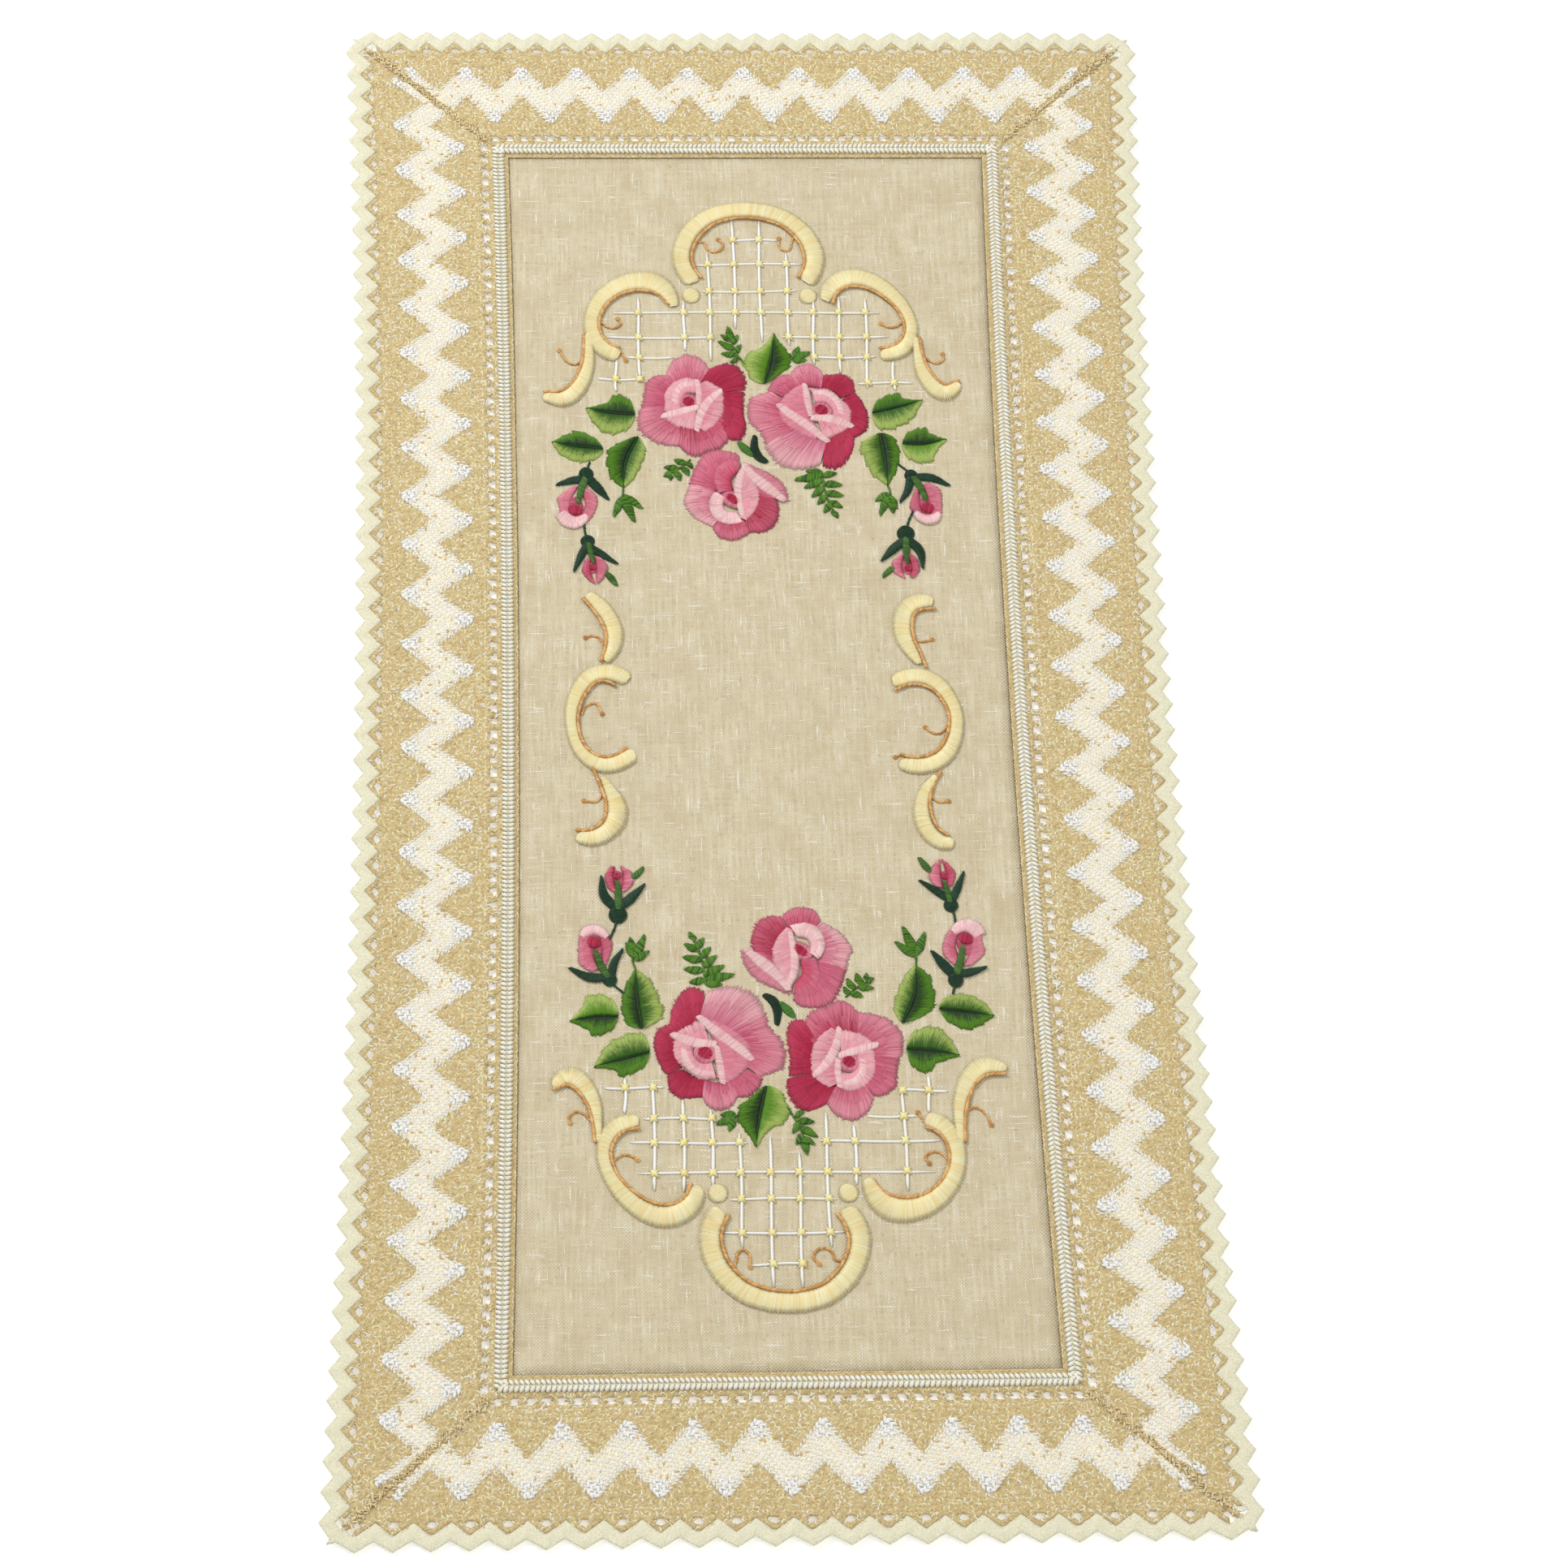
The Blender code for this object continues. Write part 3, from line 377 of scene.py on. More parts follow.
def dyed(rng, count, shades, wander=0.06):
    """Each thread gets one of the shades at random and its own small change of brightness."""
    shades = np.array([srgb(*shade) for shade in shades])
    return (shades[rng.integers(0, len(shades), count)]
            * (1 + wander * rng.standard_normal((count, 1)))).clip(0.005, 0.95)


def net_material():
    """The ground behind the loops: darker tan, painted shade for the gaps between the loops,
    with the rows of the knitting showing as fine uneven ridges."""
    made, tree, shader = principled("tan_net_painted_shade", srgb(198, 177, 126), 0.85, 0.2)
    link, calc, stretched, cloud, mix, between, raised = node_tools(tree)
    grain = cloud(stretched((1, 1, 1)), 900.0, 3.0, 0.6)
    patches = cloud(stretched((1, 1, 1)), 70.0, 2.0)
    # painted shade: the net's tans are darker than the yarn of the loops, for the shade in the gaps
    # between them
    tone = mix(between(grain, 0.35, 0.65), srgb(176, 151, 99), srgb(218, 201, 154))
    link(mix(between(patches, 0.35, 0.65, 0.0, 0.35), tone, srgb(202, 179, 126)),
         shader.inputs["Base Color"])
    raised(grain, 0.0004, 0.9, shader)
    return made


tan_net_painted_shade, tan_yarn = net_material(), yarn("tan_yarn")
CHAIN_ROWS = ((0.0176, ((222, 196, 142), (206, 178, 122))), (0.0193, ((228, 204, 152), (212, 184, 128))),
              (0.0642, ((250, 240, 206), (238, 220, 172))), (0.0722, ((244, 230, 188), (228, 206, 154))))
TAN = ((250, 239, 202), (238, 220, 172), (255, 252, 234), (222, 199, 148), (246, 232, 190))
for number, side in enumerate(SIDES):
    half, rng = SIDES[side], np.random.default_rng(11 + number)
    depth = np.linspace(NET_START, BORDER + 0.0002, 38)
    pitch, middle_tip = 2 * half / TEETH[side], TEETH[side] % 2 == 0
    across_side = np.linspace(-1, 1, int(2 * half / 0.0018))
    ss, dd = across_side[None, :] * (half - depth[:, None]), depth[:, None] + 0 * across_side
    # outside the straight net, points run down to the edging, each round a small hole
    line = EDGE_POINT + 0.0004 + (EDGE_NOTCH - EDGE_POINT) * sawtooth(ss[0], pitch, middle_tip)
    share = np.linspace(0, 1, 9)[:-1, None]
    ss = np.concatenate([ss[0] + 0 * share, ss])
    dd = np.concatenate([line + (depth[0] - line) * share, dd])
    dip = -0.00030 * np.exp(-((dd - EYELET_AT) / 0.0022) ** 2)
    net = on_strip(side, ss, dd, NET_TOP + dip + 0.00012 * rng.standard_normal(ss.shape))
    quads = grid_faces(*ss.shape)
    mid_s, mid_d = ss.ravel()[quads].mean(axis=1), dd.ravel()[quads].mean(axis=1)
    eyelet = (np.abs(mid_d - EYELET_AT) < 0.0021) & (sawtooth(mid_s, EYELET_PITCH, True) < 0.52)
    hole = (np.abs(mid_d - HOLE_AT) / 0.0015) ** 2 + (sawtooth(mid_s, pitch, middle_tip) * pitch / 2
                                                       / 0.0030) ** 2 < 1
    ground = piece("lace_net_" + side, net.reshape(-1, 3), quads[~(eyelet | hole)], tan_net_painted_shade,
                   ("lace_ground_" + side,), slot="lace_thread")
    given_thickness(ground, 0.0006)

    # the loops: short bent threads lying every way, thinned where the zigzag covers them
    row, column = np.meshgrid(np.arange(0.0086, 0.0722, 0.00190),
                              np.arange(-half, half, 0.00215), indexing="ij")
    row = (row + 0.0004 * rng.standard_normal(row.shape)).ravel()
    column = (column + 0.0005 * rng.standard_normal(column.shape)).ravel()
    outer = zigzag_depth(side, column)
    saw = sawtooth(column, pitch, middle_tip)
    keep = ((np.abs(column) < half - row - 0.0005)
            & (row > EDGE_POINT + 0.0013 + (EDGE_NOTCH - EDGE_POINT) * saw)
            & (((row - HOLE_AT) / 0.0022) ** 2 + (saw * pitch / 2 / 0.0036) ** 2 > 1)
            & ~((row > outer + 0.0014) & (row < outer + stroke_depth(side, column) - 0.0014))
            & ~((np.abs(row - EYELET_AT) < 0.0023) & (sawtooth(column, EYELET_PITCH, True) < 0.60)))
    row, column = row[keep], column[keep]
    count = len(row)
    way = rng.normal(0.9, 0.8, count) * rng.choice([-1, 1], count)
    reach = rng.uniform(0.0011, 0.0017, count)
    share = np.array([-1.0, 0.0, 1.0])
    bend = np.array([-0.3, 0.45, -0.3]) * 0.001
    cos, sin = np.cos(way)[:, None], np.sin(way)[:, None]
    loop_s = column[:, None] + reach[:, None] * share * cos - bend * sin
    loop_d = row[:, None] + reach[:, None] * share * sin + bend * cos
    loop_z = NET_TOP + np.array([0.00018, 0.00062, 0.00018]) + rng.uniform(0, 0.0002, (count, 1))
    loops = on_strip(side, loop_s, loop_d, loop_z)
    # straight rows of chain stitch: beside the eyelets and outside the zigzag
    rows_of_chain = []
    for depth_at, shades in CHAIN_ROWS:
        reach_s = half - depth_at - 0.001
        place = np.arange(-reach_s, reach_s, 0.0021)
        lean = np.where(np.arange(len(place)) % 2 == 0, 1, -1)[:, None]
        rows_of_chain.append((on_strip(side, place[:, None] + 0.0013 * share,
                                       depth_at + 0.0003 * lean * share,
                                       NET_TOP + 0.0002 + np.array([0.0, 0.0003, 0.0])),
                              0.00046, 0.00032, dyed(rng, len(place), shades, 0.05)))
    loops_of_yarn = (loops, 0.00056, 0.00042, dyed(rng, count, TAN, 0.10))
    threads("lace_loops_" + side, rows_of_chain + [loops_of_yarn], tan_yarn, slot="lace_thread")


# ---- White zigzag -------------------------------------------------------------------------
# Cream cotton worked into the lace as a broad zigzag: five ribs of plaited stitches side by
# side on a thin cream ground, with denser, whiter stitches at every turn.
cream_net, tree, shader = principled("cream_net", srgb(245, 239, 220), 0.85, 0.2)
link, calc, stretched, cloud, mix, between, raised = node_tools(tree)
grain = cloud(stretched((1, 1, 1)), 1100.0, 2.0)
link(mix(between(grain, 0.4, 0.62), srgb(230, 214, 174), srgb(250, 246, 230)),
     shader.inputs["Base Color"])
raised(grain, 0.0003, 0.8, shader)
cream_yarn = yarn("cream_yarn", rough=0.7, fuzz=0.22)
CREAM = ((255, 254, 246), (253, 249, 237), (255, 255, 250), (254, 251, 242), (249, 243, 226))
RIBS, RIB_STITCH = 5, 0.00205
for number, side in enumerate(SIDES):
    half, rng = SIDES[side], np.random.default_rng(41 + number)
    reach = half - ZIGZAG_OUT
    s = np.linspace(-reach, reach, 2 * int(2 * reach / 0.0035 / 2) + 1)
    share = np.linspace(0, 1, 9)[:, None]
    dd = zigzag_depth(side, s)[None, :] + stroke_depth(side, s) * share
    room = half - dd - 0.0024
    ss = np.clip(s[None, :] + 0 * dd, -room, room)
    hump = 0.0003 * np.sqrt(np.clip(1 - (2 * share - 1) ** 2, 0, 1))
    band = on_strip(side, ss, dd, NET_TOP + 0.00025 + hump)
    quads = grid_faces(*ss.shape)
    mid_s = ss.ravel()[quads]
    open_faces = np.ptp(mid_s, axis=1) > 1e-5
    under = piece("zigzag_ground_" + side, band.reshape(-1, 3), quads[open_faces], cream_net,
                  ("zigzag_band_" + side,), slot="cream_thread")
    given_thickness(under, 0.0003)

    # plaited stitches: pairs of short threads leaning in to the middle line of each rib
    stroke = math.hypot(ZIGZAG_PITCH / 2, ZIGZAG_SWING)
    per_stroke = round(stroke / RIB_STITCH)
    strokes = int(2 * reach / (ZIGZAG_PITCH / 2)) + 4
    k = np.arange(-strokes * per_stroke // 2, strokes * per_stroke // 2 + 1)
    rib, place_on, hand = np.meshgrid(np.arange(RIBS), k, [-1, 1], indexing="ij")
    rib, place_on, hand = rib.ravel(), place_on.ravel(), hand.ravel()
    mid = (place_on + 0.5) * ZIGZAG_PITCH / 2 / per_stroke
    tip_phase = side in ("far", "near")
    line = stroke_depth(side, mid) * (rib + 0.5) / RIBS
    middle = zigzag_depth(side, mid) + line
    slope = (zigzag_depth(side, mid + 1e-5) - zigzag_depth(side, mid - 1e-5)) / 2e-5
    run = np.stack([np.ones_like(slope), slope], axis=-1)
    run /= np.linalg.norm(run, axis=1, keepdims=True)
    flank = np.stack([-run[:, 1], run[:, 0]], axis=-1)
    apart = ZIGZAG_STROKE / RIBS * np.abs(run[:, 0]) * 0.5
    count = len(mid)
    t = np.array([-1.0, 0.0, 1.0])[None, :, None]
    centre = (np.stack([mid, middle], axis=-1) + flank * (hand * apart * 0.52)[:, None]
              + 0.00012 * rng.standard_normal((count, 2)))
    outer_turn = (sawtooth(mid, ZIGZAG_PITCH, tip_phase) < 0.24) & (rib <= 1)
    inner_turn = (sawtooth(mid, ZIGZAG_PITCH, tip_phase) > 0.76) & (rib >= RIBS - 2)
    white = outer_turn | inner_turn
    lean = run * (0.00105 + 0.0003 * white[:, None]) - flank * (hand * apart * 0.50)[:, None]
    stitch = centre[:, None] + lean[:, None] * t
    keep = (np.abs(stitch[:, :, 0]) < half - stitch[:, :, 1] - 0.0026).all(axis=1)
    keep &= rng.random(count) > 0.035
    z = NET_TOP + 0.00062 + np.array([0.0, 0.00045, 0.00005])[None] + (0.00022 * white)[:, None]
    paths = on_strip(side, stitch[..., 0], stitch[..., 1], z)
    colours = dyed(rng, count, CREAM, 0.03)
    speck = rng.random(count) < np.where(white, 0.0, 0.05)
    colours[speck] = dyed(rng, int(speck.sum()), ((222, 198, 146), (214, 186, 132)), 0.05)
    colours[white] = dyed(rng, int(white.sum()), ((255, 254, 248), (252, 251, 244)), 0.008)
    wide = np.where(white, 0.00090, 0.00060)
    threads("zigzag_stitches_" + side,
            [(paths[keep], wide[keep], 0.00044, colours[keep])], cream_yarn, slot="cream_thread")


# ---- Toothed edging -----------------------------------------------------------------------
# A pale, slightly greenish, half-sheer band crocheted round the outside: a toothed outer edge,
# and an inner edge that runs up between the tan points of the lace. Each tan point is an arch
# of yarn round a small gap.
edging, tree, shader = principled("white_edging", srgb(230, 226, 198), 0.75, 0.3)
link, calc, stretched, cloud, mix, between, raised = node_tools(tree)
grain = cloud(stretched((1, 1, 1)), 1500.0, 2.0, 0.6)
fold = cloud(stretched((1, 1, 1)), 160.0, 2.0)
tone = mix(between(grain, 0.35, 0.65), srgb(213, 208, 173), srgb(242, 238, 214))
link(mix(between(fold, 0.35, 0.7, 0.0, 0.4), tone, srgb(222, 219, 190)), shader.inputs["Base Color"])
raised(grain, 0.0003, 0.7, shader)
# each crocheted row: its place across the band, its shades, stitch spacing and thread width
EDGING_ROWS = ((0.10, ((240, 240, 224), (230, 232, 210)), 0.0014, 0.00034),
               (0.90, ((246, 243, 228), (236, 230, 206)), 0.0012, 0.00040),
               (0.62, ((238, 238, 220), (228, 228, 204)), 0.0013, 0.00034))
for number, side in enumerate(SIDES):
    half, rng = SIDES[side], np.random.default_rng(71 + number)
    pitch = 2 * half / TEETH[side]
    middle_tip = TEETH[side] % 2 == 0
    steps = TEETH[side] * 14
    s = np.linspace(-half, half, steps + 1)
    saw = sawtooth(s, pitch, middle_tip)
    outer = TOOTH_DEPTH * saw + 0.0003 + 0.62 * np.clip(np.abs(s) - half + 0.0065, 0, None)
    inner = EDGE_POINT + (EDGE_NOTCH - EDGE_POINT) * saw
    share = np.linspace(0, 1, 7)[:, None]
    dd = outer[None] + (inner - outer)[None] * share
    room = half - dd
    ss = np.clip(s[None] + 0 * dd, -room, room)
    lift = 0.00045 * np.sin(math.pi * share) + 0.00022 * np.sin(2 * math.pi * s / pitch * 2 + 3 * share)
    edge = on_strip(side, ss, dd, 0.00085 + lift)
    quads = grid_faces(*ss.shape)
    quads = quads[np.ptp(ss.ravel()[quads], axis=1) > 1e-5]
    band = piece("toothed_edging_" + side, edge.reshape(-1, 3), quads, edging,
                 ("picot_edge_" + side,), slot="white_edging")
    given_thickness(band, 0.0005)

    # crocheted rows along both edges of the band, and the tan arches
    rows_of_loops = []
    for along_share, shades, spacing, wide in EDGING_ROWS:
        count = int(2 * half / spacing)
        mid = (np.arange(count) + 0.5) * 2 * half / count - half + 0.0002 * rng.standard_normal(count)
        ends = mid[:, None] + np.array([-0.62, 0.0, 0.62]) * spacing
        saw_there = sawtooth(ends, pitch, middle_tip)
        depth = (TOOTH_DEPTH * saw_there * (1 - along_share)
                 + (EDGE_POINT + (EDGE_NOTCH - EDGE_POINT) * saw_there) * along_share
                 + np.array([0.00025, -0.00025, 0.00025]))
        inside = (np.abs(ends) < half - depth - 0.0030).all(axis=1)
        rows_of_loops.append((on_strip(side, ends, depth, 0.00105 + np.array([0, 0.00035, 0]))[inside],
                              wide, 0.00030, dyed(rng, count, shades, 0.02)[inside]))
    threads("edging_rows_" + side, rows_of_loops, cream_yarn, slot="white_edging")

    tips = (np.arange(TEETH[side]) + 0.5) * pitch - half
    arch_share = np.linspace(-1, 1, 9)
    arches = []
    for inset, wide in ((0.0002, 0.00070), (0.0015, 0.00062)):
        arch_s = tips[:, None] + arch_share * (pitch * 0.46 - inset * 0.6)
        arch_d = EDGE_POINT + 0.0008 + inset + 0.0066 * np.abs(arch_share) ** 1.1
        arches.append((arch_s, arch_d, wide))
    floor_s = tips[:, None] + np.linspace(-1, 1, 9) * pitch * 0.52
    arches.append((floor_s, 0.0148 + 0.0003 * np.sin(9 * floor_s / pitch), 0.00062))
    bundles = []
    for arch_s, arch_d, wide in arches:
        arch_d = np.broadcast_to(arch_d, arch_s.shape)
        inside = (np.abs(arch_s) < half - arch_d - 0.0008).all(axis=1)
        bundles.append((on_strip(side, arch_s, arch_d, NET_TOP + 0.0001)[inside], wide, 0.00042,
                        dyed(rng, int(inside.sum()), TAN, 0.05)))
    # short curls of yarn wound over the arches
    curl = rng.uniform(-1, 1, (TEETH[side], 16))
    curl_s = (tips[:, None] + curl * pitch * 0.45).ravel()
    curl_d = (EDGE_POINT + 0.0022 + 0.0062 * np.abs(curl)).ravel()
    way = rng.uniform(-1.4, 1.4, curl_s.size)
    t = np.array([-1.0, 0.0, 1.0])
    cs = curl_s[:, None] + 0.0010 * t * np.cos(way)[:, None]
    cd = curl_d[:, None] + 0.0010 * t * np.sin(way)[:, None]
    inside = (np.abs(cs) < half - cd - 0.0008).all(axis=1)
    bundles.append((on_strip(side, cs, cd, NET_TOP + 0.0002 + np.array([0, 0.0004, 0]))[inside],
                    0.00036, 0.00026, dyed(rng, int(inside.sum()), TAN, 0.08)))
    threads("tan_points_" + side, bundles, tan_yarn, slot="lace_thread")


# ---- Braid over the join, and the chain along the linen -------------------------------------
# A round cream braid covers the stitches that hold the lace to the linen. Its stitches slant
# in pairs to a middle line. Beside it on the linen lies one row of tan chain stitch.
BRAID_AT, BRAID_HALF, BRAID_STITCH = 0.0751, 0.00265, 0.0023
CHAIN_TAN = ((234, 214, 164), (222, 198, 146), (242, 228, 188))
SEAM_TAN = ((238, 218, 168), (224, 199, 146), (248, 233, 192))
for number, side in enumerate(SIDES):
    half, rng = SIDES[side], np.random.default_rng(91 + number)
    reach = half - BRAID_AT + 0.0012
    count = int(2 * reach / BRAID_STITCH)
    mid, hand = np.meshgrid((np.arange(count) + 0.5) / count * 2 * reach - reach, [-1, 1])
    mid, hand = mid.ravel(), hand.ravel()
    share = np.array([0.0, 0.33, 0.67, 1.0])
    out = BRAID_HALF * share
    braid_s = mid[:, None] + 0.0016 * (share - 0.5) + 0 * hand[:, None]
    braid_d = BRAID_AT + hand[:, None] * (out + 0.00022)
    braid_z = 0.00155 + 0.00125 * np.sqrt(1 - (0.93 * share) ** 2)
    braid_z = braid_z + 0.00005 * rng.standard_normal((mid.size, 1))
    paths = on_strip(side, braid_s, braid_d, np.broadcast_to(braid_z, braid_s.shape))
    shades = dyed(rng, mid.size, ((255, 252, 240), (252, 247, 230), (248, 242, 220)), 0.02)
    core_s = np.linspace(-reach, reach, 80)[None]
    core = on_strip(side, core_s, np.full_like(core_s, BRAID_AT), np.full_like(core_s, 0.0017))
    tan_core = np.array([srgb(238, 230, 200)])
    threads("braid_stitches_" + side, [(paths, 0.00108, 0.00062, shades),
                                       (core, 0.0021, 0.0006, tan_core)],
            cream_yarn, ("braid_" + side,), slot="cream_thread")

    reach = half - BORDER + 0.0006
    count = int(2 * reach / 0.0026)
    mid = (np.arange(count) + 0.5) / count * 2 * reach - reach
    turn = np.where(np.arange(count) % 2 == 0, 1, -1)[:, None]
    t = np.array([-1.0, 0.0, 1.0])
    chain = on_strip(side, mid[:, None] + 0.00165 * t, BORDER - 0.0003 + 0.00042 * turn * t,
                     0.0013 + np.array([0.0, 0.0004, 0.0]))
    threads("linen_chain_" + side, [(chain, 0.00044, 0.00034,
                                     dyed(rng, count, CHAIN_TAN, 0.05))],
            tan_yarn, slot="lace_thread")


# ---- Mitred corners -----------------------------------------------------------------------
# Where two strips meet, their edges are gathered into a ridge of tan stitches that runs from
# the corner of the linen to the outer corner, with small gaps beside it.
for number, (name, first, second) in enumerate((("far_left", -1, 1), ("far_right", 1, 1),
                                                ("near_left", -1, -1), ("near_right", 1, -1))):
    rng = np.random.default_rng(121 + number)
    depth = np.arange(0.0125, 0.0700, 0.0009)
    depth = np.concatenate([depth, depth, depth]) + 0.0003 * rng.standard_normal(3 * len(depth))
    count = len(depth)
    heading = np.array([-first, -second]) / math.sqrt(2)
    flank = np.array([-heading[1], heading[0]])
    spot = np.stack([first * (WIDTH / 2 - depth), second * (LENGTH / 2 - depth)], axis=-1)
    spot = spot + flank * rng.normal(0, 0.0011, (count, 1))
    way = rng.choice([-1, 1], count) * rng.uniform(0.5, 1.1, count)
    run = heading * np.cos(way)[:, None] + flank * np.sin(way)[:, None]
    t = np.array([-1.0, 0.0, 1.0])[None, :, None]
    flat = spot[:, None] + run[:, None] * 0.0013 * t
    away = np.abs(((flat - spot[:, None]) * flank).sum(axis=2))
    outward = np.clip(1 - depth / 0.05, 0, 1)[:, None]
    height = 0.0021 + np.array([0.0, 0.0004, 0.0]) - away * 0.35 + 0.0006 * outward
    seam = drawn_in(np.concatenate([flat, height[..., None]], axis=2))
    spine_depth = np.linspace(0.0100, 0.0716, 24)
    spine = np.stack([first * (WIDTH / 2 - spine_depth), second * (LENGTH / 2 - spine_depth),
                      0.0013 + 0 * spine_depth], axis=-1)[None]
    threads("mitre_stitches_" + name,
            [(seam, 0.00044, 0.00030, dyed(rng, count, SEAM_TAN, 0.08)),
             (drawn_in(spine), 0.0016, 0.0007, np.array([srgb(218, 196, 144)]))],
            tan_yarn, ("mitre_seam_" + name,), slot="lace_thread")


# ---- Padded scrolls -----------------------------------------------------------------------
# Cream-yellow silk floss laid in satin stitch, side by side across a padded band, outlined on
# the inner side in gold-brown stem stitch that curls off into little hooks with a knot at the
# end. One drawing serves both motifs: the near one is the far one turned half round.
ACROSS, ALONG = (WIDTH - 2 * BORDER) / 240.0, (LENGTH - 2 * BORDER) / 640.0
LINEN_TOP = LINEN_THICK + 0.0001
floss = yarn("silk_floss", rough=0.42, sheen=0.15, fuzz=0.10)


def on_linen(u, v, z, turned=False):
    """From the drawing in millimetres to the panel; the near motif is turned half round."""
    u, v, z = np.broadcast_arrays(u, v, z)
    way = -1.0 if turned else 1.0
    return drawn_in(np.stack([way * u * ACROSS, way * v * ALONG, z], axis=-1))


def smooth(points, share):
    """A Catmull-Rom curve through the points, read at shares of its length; also that length."""
    points = np.asarray(points, dtype=float)
    held = np.vstack([2 * points[0] - points[1], points, 2 * points[-1] - points[-2]])
    fine = np.linspace(0, len(points) - 1 - 1e-9, 40 * (len(points) - 1) + 1)
    i = fine.astype(int)
    f = (fine - i)[:, None]
    p, q, r, t = held[i], held[i + 1], held[i + 2], held[i + 3]
    line = 0.5 * (2 * q + (r - p) * f + (2 * p - 5 * q + 4 * r - t) * f ** 2
                  + (3 * q - p - 3 * r + t) * f ** 3)
    gone = np.concatenate([[0], np.cumsum(np.hypot(*np.diff(line[:, :2], axis=0).T))])
    want = np.clip(np.asarray(share), 0, 1) * gone[-1]
    return np.stack([np.interp(want, gone, column) for column in line.T], axis=-1), gone[-1]


def satin_band(path, turned, rng, shades, rise, pitch=0.4, lean=0.35, base=0.0, wander=0.03):
    """Stitches side by side across a band of (u, v, width): each crosses from edge to edge,
    z = linen + base + rise (0.15 + 0.85 (1 - (0.985 t)^2)^0.36), t from -1 to 1 across, less
    towards the band's round ends."""
    length = smooth(path, 0.0)[1]
    count = max(4, int(length / pitch))
    share = (np.arange(count) + 0.5) / count
    spot = smooth(path, share)[0]
    heading = smooth(path, share + 0.004)[0][:, :2] - smooth(path, share - 0.004)[0][:, :2]
    heading /= np.linalg.norm(heading, axis=1, keepdims=True)
    flank = np.stack([-heading[:, 1], heading[:, 0]], axis=-1)
    half = spot[:, 2] / 2
    to_end = np.clip(np.minimum(share, 1 - share) * length / np.maximum(half * 0.7, 0.2), 0, 1)
    half = half * (0.35 + 0.65 * np.sqrt(1 - (1 - to_end) ** 2)) * (1 + 0.03 * rng.standard_normal(count))
    t = np.linspace(-1, 1, 6)
    across_band = (half[:, None] * t)[..., None] * flank[:, None] + (lean * t)[:, None] * heading[:, None]
    flat = spot[:, None, :2] + across_band
    crown = 0.15 + 0.85 * (1 - (0.985 * t) ** 2) ** 0.36
    z = LINEN_TOP + base + crown * rise * (0.6 + 0.4 * to_end[:, None])
    z = z + 0.00003 * rng.standard_normal((count, 1))
    return (on_linen(flat[..., 0], flat[..., 1], z, turned), pitch * 0.00068, 0.00020,
            dyed(rng, count, shades, wander))


def stem_stitch(path, turned, rng, shades, wide=0.00044, length=3.0, base=0.0):
    """A rope-like line: stitches of one length, each starting half a stitch after the last
    and leaning a little across the line."""
    total = smooth(path, 0.0)[1]
    count = max(2, int(total / 1.15))
    middle = (np.arange(count) + 0.5) / count
    t = np.linspace(-1, 1, 4)
    share = middle[:, None] + t * length / 2 / total
    spot = smooth(path, share)[0]
    heading = smooth(path, share + 0.01)[0] - smooth(path, share - 0.01)[0]
    heading = heading / (np.linalg.norm(heading, axis=2, keepdims=True) + 1e-9)
    flank = np.stack([-heading[..., 1], heading[..., 0]], axis=-1)
    spot = spot + flank * (0.38 * t)[:, None] + 0.05 * rng.standard_normal((count, 1, 2))
    z = LINEN_TOP + base + 0.00022 + 0.00050 * (1 - t ** 2)
    return (on_linen(spot[..., 0], spot[..., 1], z, turned), wide, 0.00034,
            dyed(rng, count, shades, 0.06))


def knot(u, v, radius, turned, rng, shades, base=0.0):
    """A small wound knot: one thread in a spiral of two turns that climbs to its middle."""
    turn = np.linspace(0, 4.2 * math.pi, 15) + rng.uniform(0, 6)
    r = np.linspace(radius, 0.15, 15)
    z = LINEN_TOP + base + np.linspace(0.0003, 0.0010, 15)
    return (on_linen(u + r * np.cos(turn), v + r * np.sin(turn), z, turned)[None], 0.00042, 0.00036,
            dyed(rng, 1, shades, 0.03))


def satin_dot(u, v, ru, rv, turned, rng, shades, rise, pitch=0.4, lean=0.6, base=0.0):
    """An oval of parallel stitches: each chord is 2 ru sqrt(1 - (v / rv)^2) long."""
    count = max(4, int(2 * rv / pitch))
    row = ((np.arange(count) + 0.5) / count * 2 - 1)
    chord = np.sqrt(1 - row ** 2)
    t = np.linspace(-1, 1, 6)
    du, dv = (ru * chord)[:, None] * t, (rv * row)[:, None] + 0 * t
    dome = np.sqrt(np.clip(1 - (du / ru) ** 2 - (dv / rv) ** 2, 0, 1))
    z = LINEN_TOP + base + rise * (0.15 + 0.85 * dome)
    return (on_linen(u + du * math.cos(lean) - dv * math.sin(lean),
                     v + du * math.sin(lean) + dv * math.cos(lean), z, turned),
            pitch * 0.00068, 0.00020, dyed(rng, count, shades, 0.03))


YELLOW = ((253, 239, 192), (251, 235, 183), (255, 243, 204), (248, 230, 172))
GOLD = ((222, 170, 102), (210, 155, 86), (230, 183, 118), (201, 146, 80))
SCROLL_RISE, DOT_RISE = 0.0018, 0.0017
